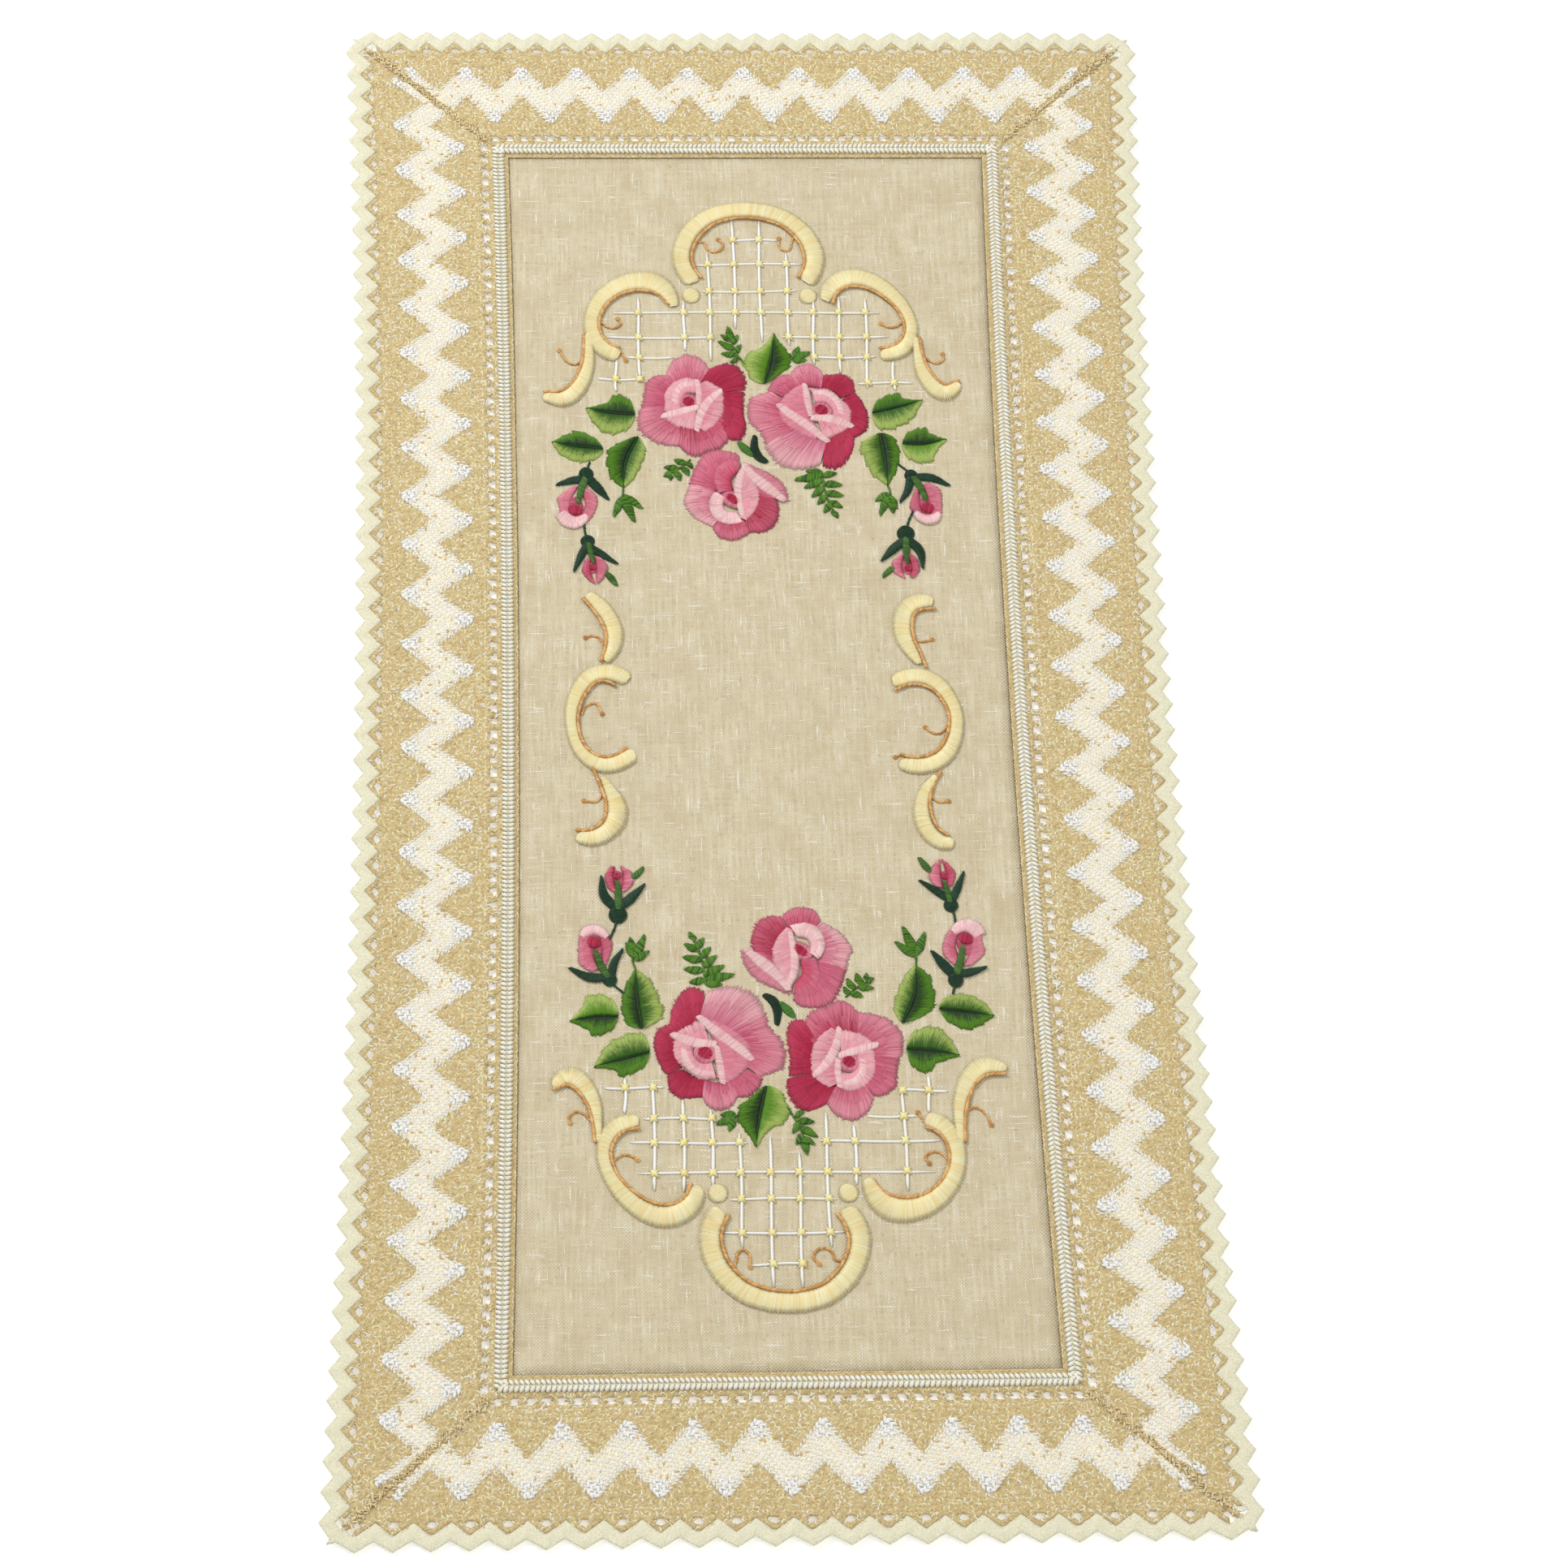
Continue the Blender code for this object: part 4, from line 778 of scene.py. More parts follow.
# each band is (u, v, width); each line is (u, v); a hook ends in its knot
ARCH = dict(
    bands=[[(-28.5, 244.5, 10), (-33.7, 254, 9.6), (-34, 263, 9.4), (-29.5, 274.5, 9.4),
            (-19.5, 284, 9.4), (-8, 287.6, 9.4), (0, 288, 9.4), (10, 286.6, 9.4), (20, 282, 9.6),
            (29, 272.5, 9.8), (33.2, 260, 10), (31.5, 250.5, 10), (28, 244.5, 10)]],
    lines=[[(-24.4, 247), (-27.8, 253), (-29, 261), (-25.6, 270.5), (-17.6, 279), (-8, 282.4),
            (0, 282.9), (9, 281.4), (17.6, 277.4), (25, 268.6), (27.8, 259), (26.6, 251.6), (24, 247)]],
    hooks=[[(-26, 269), (-22.4, 268.4), (-21.6, 265.2), (-18.4, 262.8), (-14.4, 264), (-13, 267.4),
            (-15.4, 270.2)],
           [(22.6, 272), (21.6, 268), (20.6, 264.4), (18, 263.4), (15.4, 266), (15.4, 271)]])
SCROLL_LEFT = dict(
    bands=[[(-39, 230.5, 6), (-42, 238.5, 10), (-48, 244.5, 12), (-57, 245.6, 11), (-67, 242.3, 10),
            (-76, 234, 8.6), (-80.4, 223, 7.8), (-79.5, 213, 8.4), (-74, 205, 9), (-67, 202.2, 8.5)],
           [(-82.5, 214, 3.4), (-82.2, 205, 5), (-83, 195, 6.5), (-87.5, 184, 8.5), (-95, 177, 9),
            (-105.5, 178.4, 5)]],
    lines=[[(-41, 231), (-45, 236.4), (-50, 239), (-58, 239.8), (-66, 237.2), (-72.4, 231.6),
            (-76.4, 223), (-75.6, 214), (-71, 208.2), (-66.6, 206.6)],
           [(-84.4, 214), (-84.8, 205), (-86.2, 196.6), (-90, 187), (-96, 181.8), (-105.4, 181)]],
    hooks=[[(-76.6, 223), (-73.6, 219.4), (-69.4, 218), (-65.8, 220.4), (-67.4, 223.6)],
           [(-86.2, 198.4), (-90, 197), (-94, 199.4), (-97, 205.4)], [(-66, 204), (-63.6, 199)]])
SCROLL_RIGHT = dict(
    bands=[[(37.5, 233.5, 6.5), (41, 242, 9.5), (50, 247.4, 10.4), (60, 246, 9.6), (70, 238.6, 8.6),
            (77.7, 228, 6.8), (80.6, 217, 6.6), (77.5, 207, 8), (71, 203, 8), (64.5, 202, 6.5)],
           [(82.5, 212, 2.8), (82.9, 204, 4), (84.7, 193, 6.8), (90, 183.5, 9), (96.5, 179.6, 9),
            (103.5, 184.8, 5)]],
    lines=[[(41, 231.6), (43.4, 237.6), (49, 241.6), (58, 241), (66.6, 235.8), (74, 227.6),
            (77, 217.6), (74.6, 210.4), (70, 206.6), (64, 205.6)],
           [(84.4, 212), (85.4, 203), (88, 194), (92.6, 187), (97.4, 184.4), (103.6, 186.6)]],
    hooks=[[(76.8, 222), (73, 218.6), (69, 218.2), (65, 220.4)],
           [(85.6, 202.6), (88.6, 198.8), (92.6, 197), (96, 199.2), (95.6, 202.4)]])
SIDE_SCROLLS = {
    "left_far": dict(
        bands=[[(-85.5, 67.6, 6), (-79.5, 61.5, 8.2), (-74.6, 54, 8.6), (-72.4, 46, 8.8),
                (-73.6, 38, 7), (-77.4, 31.4, 4)]],
        lines=[[(-88, 65.4), (-82.6, 58.6), (-78.8, 52), (-76.8, 45.6), (-77.4, 38.6), (-79.6, 31)]],
        hooks=[[(-78, 40), (-80, 44), (-83.4, 45.4), (-87, 44.4)]]),
    "left_middle": dict(
        bands=[[(-66.4, 21.4, 8), (-74, 25.4, 9), (-84, 24, 8.5), (-91, 15.4, 7.6), (-94.2, 5, 6.4),
                (-94, -5, 6), (-91.4, -14, 6.4), (-86, -20.6, 7.4), (-78.5, -23.8, 8),
                (-71, -22, 8.4), (-64, -17.6, 8)]],
        lines=[[(-72.6, 17.8), (-76.4, 20.4), (-82, 20), (-87.4, 13.4), (-90.6, 4.6), (-90.8, -4.6),
                (-88.2, -12.6), (-83.8, -17.6), (-77.6, -19.6), (-71.4, -17.6), (-67.4, -14.6)]],
        hooks=[[(-89.4, 3), (-87, 7.6), (-82, 9), (-79.4, 3.4)]]),
    "left_near": dict(
        bands=[[(-79.6, -30.2, 3), (-76, -37, 6.4), (-73, -44, 9.4), (-73, -51.4, 10.4),
                (-77.4, -58, 9), (-84.4, -61.4, 8.2), (-92.4, -60.6, 6)]],
        lines=[[(-84.4, -24.6), (-81.6, -32), (-79.2, -38.6), (-78, -45), (-78.8, -51), (-82.6, -55.6),
                (-87, -57.4), (-92.6, -57.4)]],
        hooks=[[(-79.6, -38.4), (-82.6, -42.4), (-88.6, -42)]]),
    "right_far": dict(
        bands=[[(84.6, 62.6, 7), (77, 62.7, 8.6), (71.4, 58.6, 9), (69, 51.6, 9.4), (69.4, 43, 9),
                (72.8, 35.6, 7), (76.4, 29, 3.6)]],
        lines=[[(86, 58.6), (79, 58.2), (75, 55.4), (73.8, 49), (74.6, 42), (76.8, 36), (79.8, 26.6)]],
        hooks=[[(75, 41.6), (79, 41.2), (83.4, 42.4)]]),
    "right_middle": dict(
        bands=[[(63, 19.4, 8), (72, 22.6, 8.6), (80.4, 21.4, 8.4), (87.4, 15.4, 8), (92.2, 6, 7),
                (93.2, -3, 7), (91, -13, 7.4), (86, -20.6, 8), (78, -24.8, 8.4), (70, -25, 8),
                (64.4, -23.4, 6.4)]],
        lines=[[(63.4, 14.8), (71, 17.8), (79, 16.8), (84.6, 12.4), (88.6, 4.8), (89.4, -2.6),
                (87.2, -10.8), (83, -17), (76.6, -20.2), (70, -20.6), (65, -19)]],
        hooks=[[(88.6, -4), (85, -7.8), (81, -7.6), (77.6, -4.6)], [(66, -18.8), (62.4, -20.4)]]),
    "right_near": dict(
        bands=[[(81.4, -30.8, 3), (76, -38, 6), (73.6, -46, 7.6), (74.2, -55, 8.6), (78.2, -62, 8.4),
                (83.4, -65.4, 7.4), (88, -64.8, 5.8)]],
        lines=[[(84, -28), (79.6, -36), (77.8, -45), (79, -53), (82, -58.6), (86, -61.6)]],
        hooks=[[(78, -40), (82, -43.8), (87, -43.4)]]),
}


def scroll(name, drawing, turned, rng, node):
    """A whole scroll: its padded bands, its gold outline and its hooks with their knots."""
    bundles = [satin_band(band, turned, rng, YELLOW, SCROLL_RISE) for band in drawing["bands"]]
    bundles += [stem_stitch(line, turned, rng, GOLD, wide=0.00078, length=3.4,
                            base=0.0007) for line in drawing["lines"]]
    for hook in drawing["hooks"]:
        bundles.append(stem_stitch(hook, turned, rng, GOLD, wide=0.00054, length=2.6))
        bundles.append(knot(*hook[-1], 1.15, turned, rng, GOLD))
    threads(name, bundles, floss, (node,), slot="scroll_thread")


for number, (end, turned) in enumerate((("far", False), ("near", True))):
    rng = np.random.default_rng(201 + number)
    for part, drawing in (("arch", ARCH), ("scroll_left", SCROLL_LEFT), ("scroll_right", SCROLL_RIGHT)):
        scroll(f"{end}_{part}_floss", drawing, turned, rng, f"{end}_{part}")
    for part, u, v in (("dot_left", -30, 237), ("dot_right", 29, 236.6)):
        threads(f"{end}_{part}_floss", [satin_dot(u, v, 4.9, 4.2, turned, rng, YELLOW, DOT_RISE)],
                floss, (f"{end}_{part}",), slot="scroll_thread")
for number, (part, drawing) in enumerate(SIDE_SCROLLS.items()):
    scroll(f"side_scroll_{part}_floss", drawing, False, np.random.default_rng(211 + number),
           f"side_scroll_{part}")


# ---- Trellis ------------------------------------------------------------------------------
# Long off-white threads, uprights laid over crossbars, tied down at each crossing with a
# small pale-yellow star of cross stitches.
UPRIGHTS = [(-69, 181.5, 199), (-57, 189, 236), (-34, 205, 233), (-21, 199, 262), (-8, 218, 281),
            (5, 210, 281), (18.5, 208, 262), (31, 197, 233), (44, 192, 235.5), (57.5, 183, 235),
            (70.5, 181.5, 198)]
CROSSBARS = [(270, -9.5, 14.5), (255.5, -27.5, 27), (239.5, -24.6, 23.6), (227, -69.5, 64.5),
             (212.5, -73, -18), (212.5, 15, 68.5), (200.8, -63, -40), (200.8, 30, 62),
             (188.4, -78, -56.4), (185.8, 52.5, 80)]
OFF_WHITE = ((255, 254, 246), (252, 250, 238), (255, 255, 250))
PALE_YELLOW = ((254, 236, 166), (250, 230, 152), (255, 241, 180))
for number, (end, turned) in enumerate((("far", False), ("near", True))):
    rng = np.random.default_rng(231 + number)
    bundles, t = [], np.linspace(0, 1, 14)
    for lines, upright in ((UPRIGHTS, True), (CROSSBARS, False)):
        for fixed, start, stop in lines:
            drift = 0.35 * np.sin(rng.uniform(0, 6) + 5 * t) + rng.uniform(-0.5, 0.5) * (t - 0.5)
            run, cross = start + (stop - start) * t, fixed + drift
            u, v = (cross, run) if upright else (run, cross)
            z = LINEN_TOP + (0.00066 if upright else 0.00040)
            bundles.append((on_linen(u, v, z, turned)[None], 0.00084 if upright else 0.00074, 0.00036,
                            dyed(rng, 1, OFF_WHITE, 0.02)))
    t = np.linspace(-1, 1, 4)
    for u, low, high in UPRIGHTS:
        for v, start, stop in CROSSBARS:
            if low - 1 <= v <= high + 1 and start - 1 <= u <= stop + 1:
                for lean in (0.0, 1.57, 0.79, 2.36):
                    arm = rng.uniform(2.1, 2.6) if lean in (0.79, 2.36) else 1.7
                    bundles.append((on_linen(u + arm * t * math.cos(lean), v + arm * t * math.sin(lean),
                                             LINEN_TOP + 0.0008 + 0.0006 * (1 - t ** 2), turned)[None],
                                    0.00086, 0.00042, dyed(rng, 1, PALE_YELLOW, 0.03)))
    threads(f"{end}_trellis_threads", bundles, floss, (f"{end}_trellis",), slot="trellis_thread")


# ---- Roses --------------------------------------------------------------------------------
# Three full roses in each motif. Every petal is filled with long and short stitches that fan
# from its foot to its rim, shaded from deep magenta to pale pink; the pale turned-back rims
# are padded bands, and a small dark heart sits in the middle.
def filled(foot, rim, turned, rng, near_foot, near_rim, lift, hump, pitch=0.42,
           slant=(0.0, 1.0, 0.0, 1.0),
           teeth=0, sharp=1.0):
    """Stitches from a foot curve to a rim curve. A column's ends are the same share along both,
    or slanted: foot share a + b t, rim share c + d t. Long columns are two rows that overlap
    unevenly. z = linen + lift + hump (1 - |2s - 1|^2.6), s from foot to rim. A toothed rim
    moves in and out by 6 percent, and sharp makes the change of colour quicker."""
    length = max(smooth(foot, 0.0)[1], smooth(rim, 0.0)[1])
    count = max(3, int(length / pitch))
    share = (np.arange(count) + 0.5) / count
    start = smooth(foot, slant[0] + slant[1] * share)[0]
    stop = smooth(rim, slant[2] + slant[3] * share)[0]
    saw = share * teeth - np.floor(share * teeth) - 0.5
    stop = stop + (stop - start) * (0.025 * rng.standard_normal(count) + 0.12 * saw * (teeth > 0))[:,
                                                                                                   None]
    span = np.linalg.norm(stop - start, axis=1).mean()
    if span > 6.0:
        cut = rng.uniform(0.42, 0.62, (count, 1))
        ends = [(np.zeros((count, 1)), cut + 0.10), (cut - 0.08, np.ones((count, 1)))]
    else:
        ends = [(np.zeros((count, 1)), np.ones((count, 1)))]
    steps = np.linspace(0, 1, 5)
    paths, tints = [], []
    for first, last in ends:
        s = first + (last - first) * steps
        flat = start[:, None] + (stop - start)[:, None] * s[..., None]
        z = (LINEN_TOP + lift + hump * (1 - np.abs(2 * s - 1) ** 2.6)
             + 0.00003 * rng.standard_normal((count, 1)) + 0.00004 * np.sin(math.pi * steps))
        paths.append(on_linen(flat[..., 0], flat[..., 1], z, turned))
        blend = np.clip((s - 0.5) * sharp + 0.5 + 0.18 * rng.standard_normal((count, 1)), 0, 1)[..., None]
        tone = np.array(srgb(*near_foot)) * (1 - blend) + np.array(srgb(*near_rim)) * blend
        tints.append(tone * (1 + 0.07 * rng.standard_normal((count, 1, 1))))
    return np.concatenate(paths), pitch * 0.00066, 0.00020, np.concatenate(tints).clip(0.003, 0.95)


DEEP, WINE, MID, ROSE = (174, 27, 63), (194, 55, 91), (206, 97, 123), (218, 125, 147)
LIGHT, PALE, BLUSH = (230, 154, 169), (240, 188, 193), (248, 216, 214)
# a petal is (foot curve, rim curve, colour at the foot, colour at the rim)
ROSE_LEFT = dict(
    outer=[([(-41, 187), (-34, 189), (-26, 187)],
            [(-43.8, 192), (-40, 199.6), (-33, 202.6), (-26.5, 200.4), (-21.8, 194.6)], MID, LIGHT),
           ([(-43, 171), (-44.6, 179), (-41, 187)],
            [(-57, 172.4), (-55.4, 179), (-54.4, 186), (-49.5, 190.4), (-43.8, 191)], MID, ROSE),
           ([(-37, 157), (-42, 163), (-44, 171)],
            [(-39, 149.8), (-46, 150.8), (-53, 153.8), (-58.4, 160), (-58.8, 167), (-56.8, 172.6)],
            MID, LIGHT),
           ([(-38, 161), (-33, 160), (-27, 158)],
            [(-39, 150.4), (-34, 145.4), (-29, 144), (-25, 146.6)], DEEP, ROSE),
           ([(-29, 158), (-23, 160), (-16, 164)],
            [(-25.4, 146.4), (-18.6, 148), (-14.2, 152), (-12.8, 158), (-14, 164)], WINE, ROSE),
           ([(-15.6, 163), (-14.4, 172), (-15, 181)],
            [(-12.6, 153.4), (-7.6, 153.4), (-4.6, 159), (-5, 166), (-5.4, 173), (-4.6, 181)],
            DEEP, WINE),
           ([(-16, 181), (-20, 184.5), (-25, 188)],
            [(-4.4, 182), (-3.8, 188), (-7.4, 195.6), (-14, 197.6), (-21.4, 194.8)], DEEP, WINE)],
    inner=[([(-29, 181), (-34, 181), (-37, 176), (-37, 169)],
            [(-27, 187.6), (-34, 189), (-41.4, 186), (-45.4, 179.5), (-45.6, 171), (-43.4, 166)],
            LIGHT, PALE),
           ([(-27.6, 187), (-27, 179), (-28, 171), (-29, 158)],
            [(-23, 187), (-15.4, 181.4), (-14.4, 172), (-18, 163), (-25, 157.4)], ROSE, PALE),
           ([(-28.5, 171.5), (-34, 169.5), (-40, 167)], [(-30, 158), (-38, 159.8), (-45.6, 165.4)],
            LIGHT, PALE)],
    folds=[[(-30, 184.6, 2.4), (-35, 184.4, 3), (-39, 179.8, 3), (-39.6, 173.6, 2.6)],
           [(-47, 166.4, 2), (-40.6, 168, 3.2), (-34, 170, 3.2), (-28, 171.8, 2.4)],
           [(-16, 181.4, 2), (-22, 176, 3.6), (-27, 167.6, 3.6), (-29.4, 157.6, 2)],
           [(-28.4, 187.4, 2), (-27.6, 180, 2.6), (-28, 173, 2)]],
    heart=(-33, 174.6, 4.2, 4.0))
ROSE_RIGHT = dict(
    outer=[([(11, 179), (16, 183), (21, 186)], [(6.8, 181.8), (9.6, 187.6), (14, 190.6), (19, 191)],
            MID, ROSE),
           ([(20, 185), (27, 187), (34, 185)], [(18.6, 190.8), (22, 195.4), (28, 197.2), (33, 194.6),
                                                (35, 190.4)], MID, LIGHT),
           ([(34, 184), (40, 183), (46, 179)], [(34.6, 190.6), (40, 191.2), (45, 191.2), (50, 187.4),
                                                (51, 180)], DEEP, WINE),
           ([(47, 178), (48.6, 170), (46, 161)], [(51, 180), (54.6, 174.6), (56.8, 167.6), (56.4, 159.6),
                                                  (52.8, 156), (49.5, 154.6)], DEEP, WINE),
           ([(47, 160), (41, 157), (36, 152)], [(49.6, 154), (48.6, 148), (44.4, 139.6), (38, 136.4),
                                                (33, 138.8)], DEEP, WINE),
           ([(37, 151), (29, 153), (20, 158)], [(31.6, 139), (26, 137.4), (18.6, 136.6), (11, 139.6),
                                                (6.4, 145.6), (4.8, 151)], ROSE, PALE),
           ([(20, 158), (12.6, 166), (12, 176)], [(4.8, 149.6), (2, 158), (-2.6, 163), (-4, 170),
                                                  (-2.6, 176.6), (2, 179.2), (8, 181.4)], MID, LIGHT)],
    inner=[([(27.5, 184), (26, 174), (27, 165), (31, 157)],
            [(23, 184.6), (16.6, 180), (11.8, 173), (13, 164), (21, 157), (30, 152.6)], ROSE, LIGHT),
           ([(30, 175), (36, 175), (40, 170), (40, 164)],
            [(28.6, 182.4), (37, 182), (43, 177), (48.4, 171), (49, 163)], LIGHT, PALE),
           ([(30, 165), (38, 164), (46, 161)], [(35, 152.6), (42, 156), (48, 159.6)], ROSE, PALE)],
    folds=[[(11.6, 173.4, 2.4), (18, 167.4, 4), (27, 160, 4.2), (36.4, 151.4, 2.2)],
           [(25.4, 185, 2), (26.4, 177, 3), (28, 166, 2)],
           [(28, 165.4, 2.4), (36, 165, 3.8), (43, 162.8, 4), (49, 160, 2)],
           [(30, 179.8, 2), (37, 179, 3), (41.8, 174, 3), (43.6, 167, 2.2)]],
    heart=(33.4, 169.6, 4.8, 4.4))
ROSE_MIDDLE = dict(
    outer=[([(-21, 126), (-20, 136), (-12, 141)],
            [(-34.2, 128), (-31, 138), (-25.6, 146), (-19, 148), (-11, 146.4), (-8, 143.6)], MID, ROSE),
           ([(-4, 129), (0, 126), (4, 122)], [(-6.6, 141), (0.5, 137.8), (8.6, 133.2), (14, 126.4),
                                              (16, 118.6)], MID, LIGHT),
           ([(0, 124), (-2, 115), (-6, 108)], [(4, 122.6), (9.6, 119.4), (10.4, 112), (8, 105),
                                               (2, 101.4), (-4.4, 101.6)], DEEP, MID),
           ([(-7, 107), (-13, 106), (-20, 108)], [(-4.4, 101.4), (-7, 99.2), (-13.5, 97), (-19.8, 98.8),
                                                  (-22.8, 103.6)], WINE, ROSE),
           ([(-20, 108), (-24, 116), (-22, 126)],
            [(-23, 104.4), (-32, 110), (-37.2, 118), (-35.4, 124), (-34, 129)], ROSE, PALE)],
    inner=[([(-12, 126), (-13, 133), (-9, 139)], [(-20, 123), (-22, 132), (-19.6, 139), (-14, 142),
                                                  (-8, 141)], WINE, ROSE),
           ([(-17, 120), (-18.6, 116), (-16.6, 112), (-11, 110.6)],
            [(-21, 124), (-24, 118), (-22, 109.6), (-15, 105.2), (-7.4, 106)], PALE, BLUSH),
           ([(-9, 131), (-8, 122), (-9, 113), (-9, 107)],
            [(-5, 137.6), (-0.6, 129), (1.6, 121), (-1.4, 113), (-6, 107.6)], LIGHT, PALE)],
    folds=[[(-6.6, 139.4, 2.2), (-1.4, 132, 4), (5, 126, 4.6), (13.4, 118.6, 2.4)],
           [(-6, 137.6, 2), (-9, 130, 3.2), (-9.6, 122, 3), (-8, 110, 2)],
           [(-20.6, 122.6, 2.2), (-22.6, 116.6, 3), (-19.6, 109.4, 3.2), (-12.6, 106.6, 2.6)]],
    heart=(-12.4, 119.4, 3.6, 5.2))
for number, (end, turned) in enumerate((("far", False), ("near", True))):
    for place, (part, flower) in enumerate((("rose_left", ROSE_LEFT), ("rose_right", ROSE_RIGHT),
                                            ("rose_middle", ROSE_MIDDLE))):
        rng = np.random.default_rng(251 + 10 * number + place)
        bundles = []
        u, v, ru, rv = flower["heart"]
        heart = np.array([u, v])
        for k, (foot, rim, near_foot, near_rim) in enumerate(flower["outer"]):
            foot = heart + (np.array(foot) - heart) * 0.80     # the foot runs in under the cup
            bundles.append(filled(foot, rim, turned, rng,
                                  np.multiply(near_foot, (0.93, 0.78, 0.88)), near_rim,
                                  0.00015 + 0.00012 * (k % 2), 0.0009, sharp=1.15))
        for foot, rim, near_foot, near_rim in flower["inner"]:
            foot = heart + (np.array(foot) - heart) * 0.80
            bundles.append(filled(foot, rim, turned, rng, near_foot, near_rim, 0.0008, 0.0006))
        bundles.append(satin_dot(u, v, ru + 0.9, rv + 0.9, turned, rng, (LIGHT, ROSE), 0.0004,
                                 lean=1.1, base=0.0010))
        bundles.append(satin_dot(u, v, ru * 0.82, rv * 0.82, turned, rng, (DEEP, DEEP, WINE),
                                 0.0006, lean=0.9,
                                 base=0.0011))
        for fold in flower["folds"]:
            fold = np.array(fold) * (1, 1, 1.4)
            bundles.append(satin_band(fold, turned, rng, (BLUSH, PALE, BLUSH), 0.0006, lean=0.6,
                                      base=0.0010, wander=0.02))
        if part == "rose_middle":      # the dark stem and small leaf where the three roses meet
            dark = ((30, 62, 40), (24, 52, 34))
            bundles.append(satin_band([(-0.2, 156, 2.4), (-0.8, 149, 4.4), (1, 144, 4.6),
                                       (5.4, 140.6, 2.6)],
                                      turned, rng, dark, 0.0008))
            bundles.append(satin_band([(-8.6, 152.4, 2), (-5.6, 148.6, 4.4), (-2, 144.4, 2)], turned, rng,
                                      ((74, 128, 44), (92, 146, 56)), 0.0008))
        threads(f"{end}_{part}_petals", bundles, floss, (f"{end}_{part}",), slot="rose_thread")


# ---- Leaves -------------------------------------------------------------------------------
# Each leaf is stitched in two halves that slant from the vein to the rim, one darker than the
# other, with the vein in the darkest green. Small sprigs of single leaflets grow from them.
DARK, GREEN, FRESH = (30, 60, 12), (54, 98, 14), (88, 138, 22)
SOFT = (169, 190, 100)
# a leaf is (vein, first half's rim, second half's rim, colours foot and rim of each half)
LEAVES = {
    "leaf_centre": [([(5.6, 185.6), (9, 200), (11, 214.6)],
                     [(5, 184.8), (-1, 188), (-3, 192), (-5.4, 199), (-1, 204), (5, 207), (11, 215)],
                     [(6, 185), (12.8, 190.8), (18.4, 195.4), (19.2, 202), (15.4, 207.6), (11, 215)],
                     (FRESH, SOFT), (DARK, FRESH))],
    "leaves_left": [([(-60, 168), (-72, 169), (-84.4, 171.6)],
                     [(-60.6, 169), (-61.4, 175), (-65, 179), (-70.6, 179.6), (-73.4, 175.6),
                      (-84.4, 171.8)],
                     [(-60.6, 167), (-62.4, 161.4), (-67, 158), (-75, 157.4), (-81.6, 164.6),
                      (-84.4, 171.4)],
                     (DARK, FRESH), (GREEN, SOFT)),
                    ([(-76.4, 148.6), (-89, 150), (-101.8, 152.4)],
                     [(-76.6, 149), (-80, 154.8), (-88.6, 159), (-95, 157), (-101.8, 152.6)],
                     [(-76.6, 148.2), (-78, 144.4), (-82, 142), (-90, 141.4), (-98, 145.8),
                      (-101.8, 152.2)],
                     (DARK, FRESH), (GREEN, SOFT)),
                    ([(-58.8, 155.6), (-65, 142), (-66.6, 127)],
                     [(-60, 155.4), (-67, 152.8), (-73.6, 148.4), (-74.8, 141), (-72.6, 131.6),
                      (-66.8, 126.8)],
                     [(-58.4, 155.4), (-55, 148), (-57.6, 139), (-62, 130.6), (-66.4, 126.8)],
                     (DARK, FRESH), (GREEN, SOFT))],
    "leaves_right": [([(59, 168.6), (72, 172), (84.6, 175.6)],
                      [(59.4, 169.6), (62, 176), (71.6, 180.4), (75.6, 177), (84.6, 175.8)],
                      [(59.4, 167.6), (60.4, 161.6), (64.4, 158.8), (71.6, 160.2),
                       (79.6, 165.6), (84.6, 175.4)],
                      (GREEN, FRESH), (GREEN, SOFT)),
                     ([(73.4, 150.8), (84, 150.6), (95.8, 153)],
                      [(73.4, 151.4), (76.6, 157.6), (84.8, 160.4), (87.4, 157.4), (95.8, 153.2)],
                      [(73.4, 150.2), (74.6, 144.6), (79.4, 140.4), (87.4, 140.2),
                       (90.4, 146.4), (95.8, 152.8)],
                      (DARK, FRESH), (FRESH, SOFT)),
                     ([(62.4, 157), (64.4, 142), (65, 127.4)],
                      [(61.6, 157), (52.4, 151), (53.8, 142.6), (58, 133), (64.8, 127.4)],
                      [(63.4, 157), (69.4, 154.6), (72, 146), (70, 135.6), (65.2, 127.4)],
                      (GREEN, SOFT), (DARK, FRESH))],
    "fern_left": [], "fern_right": [],
}
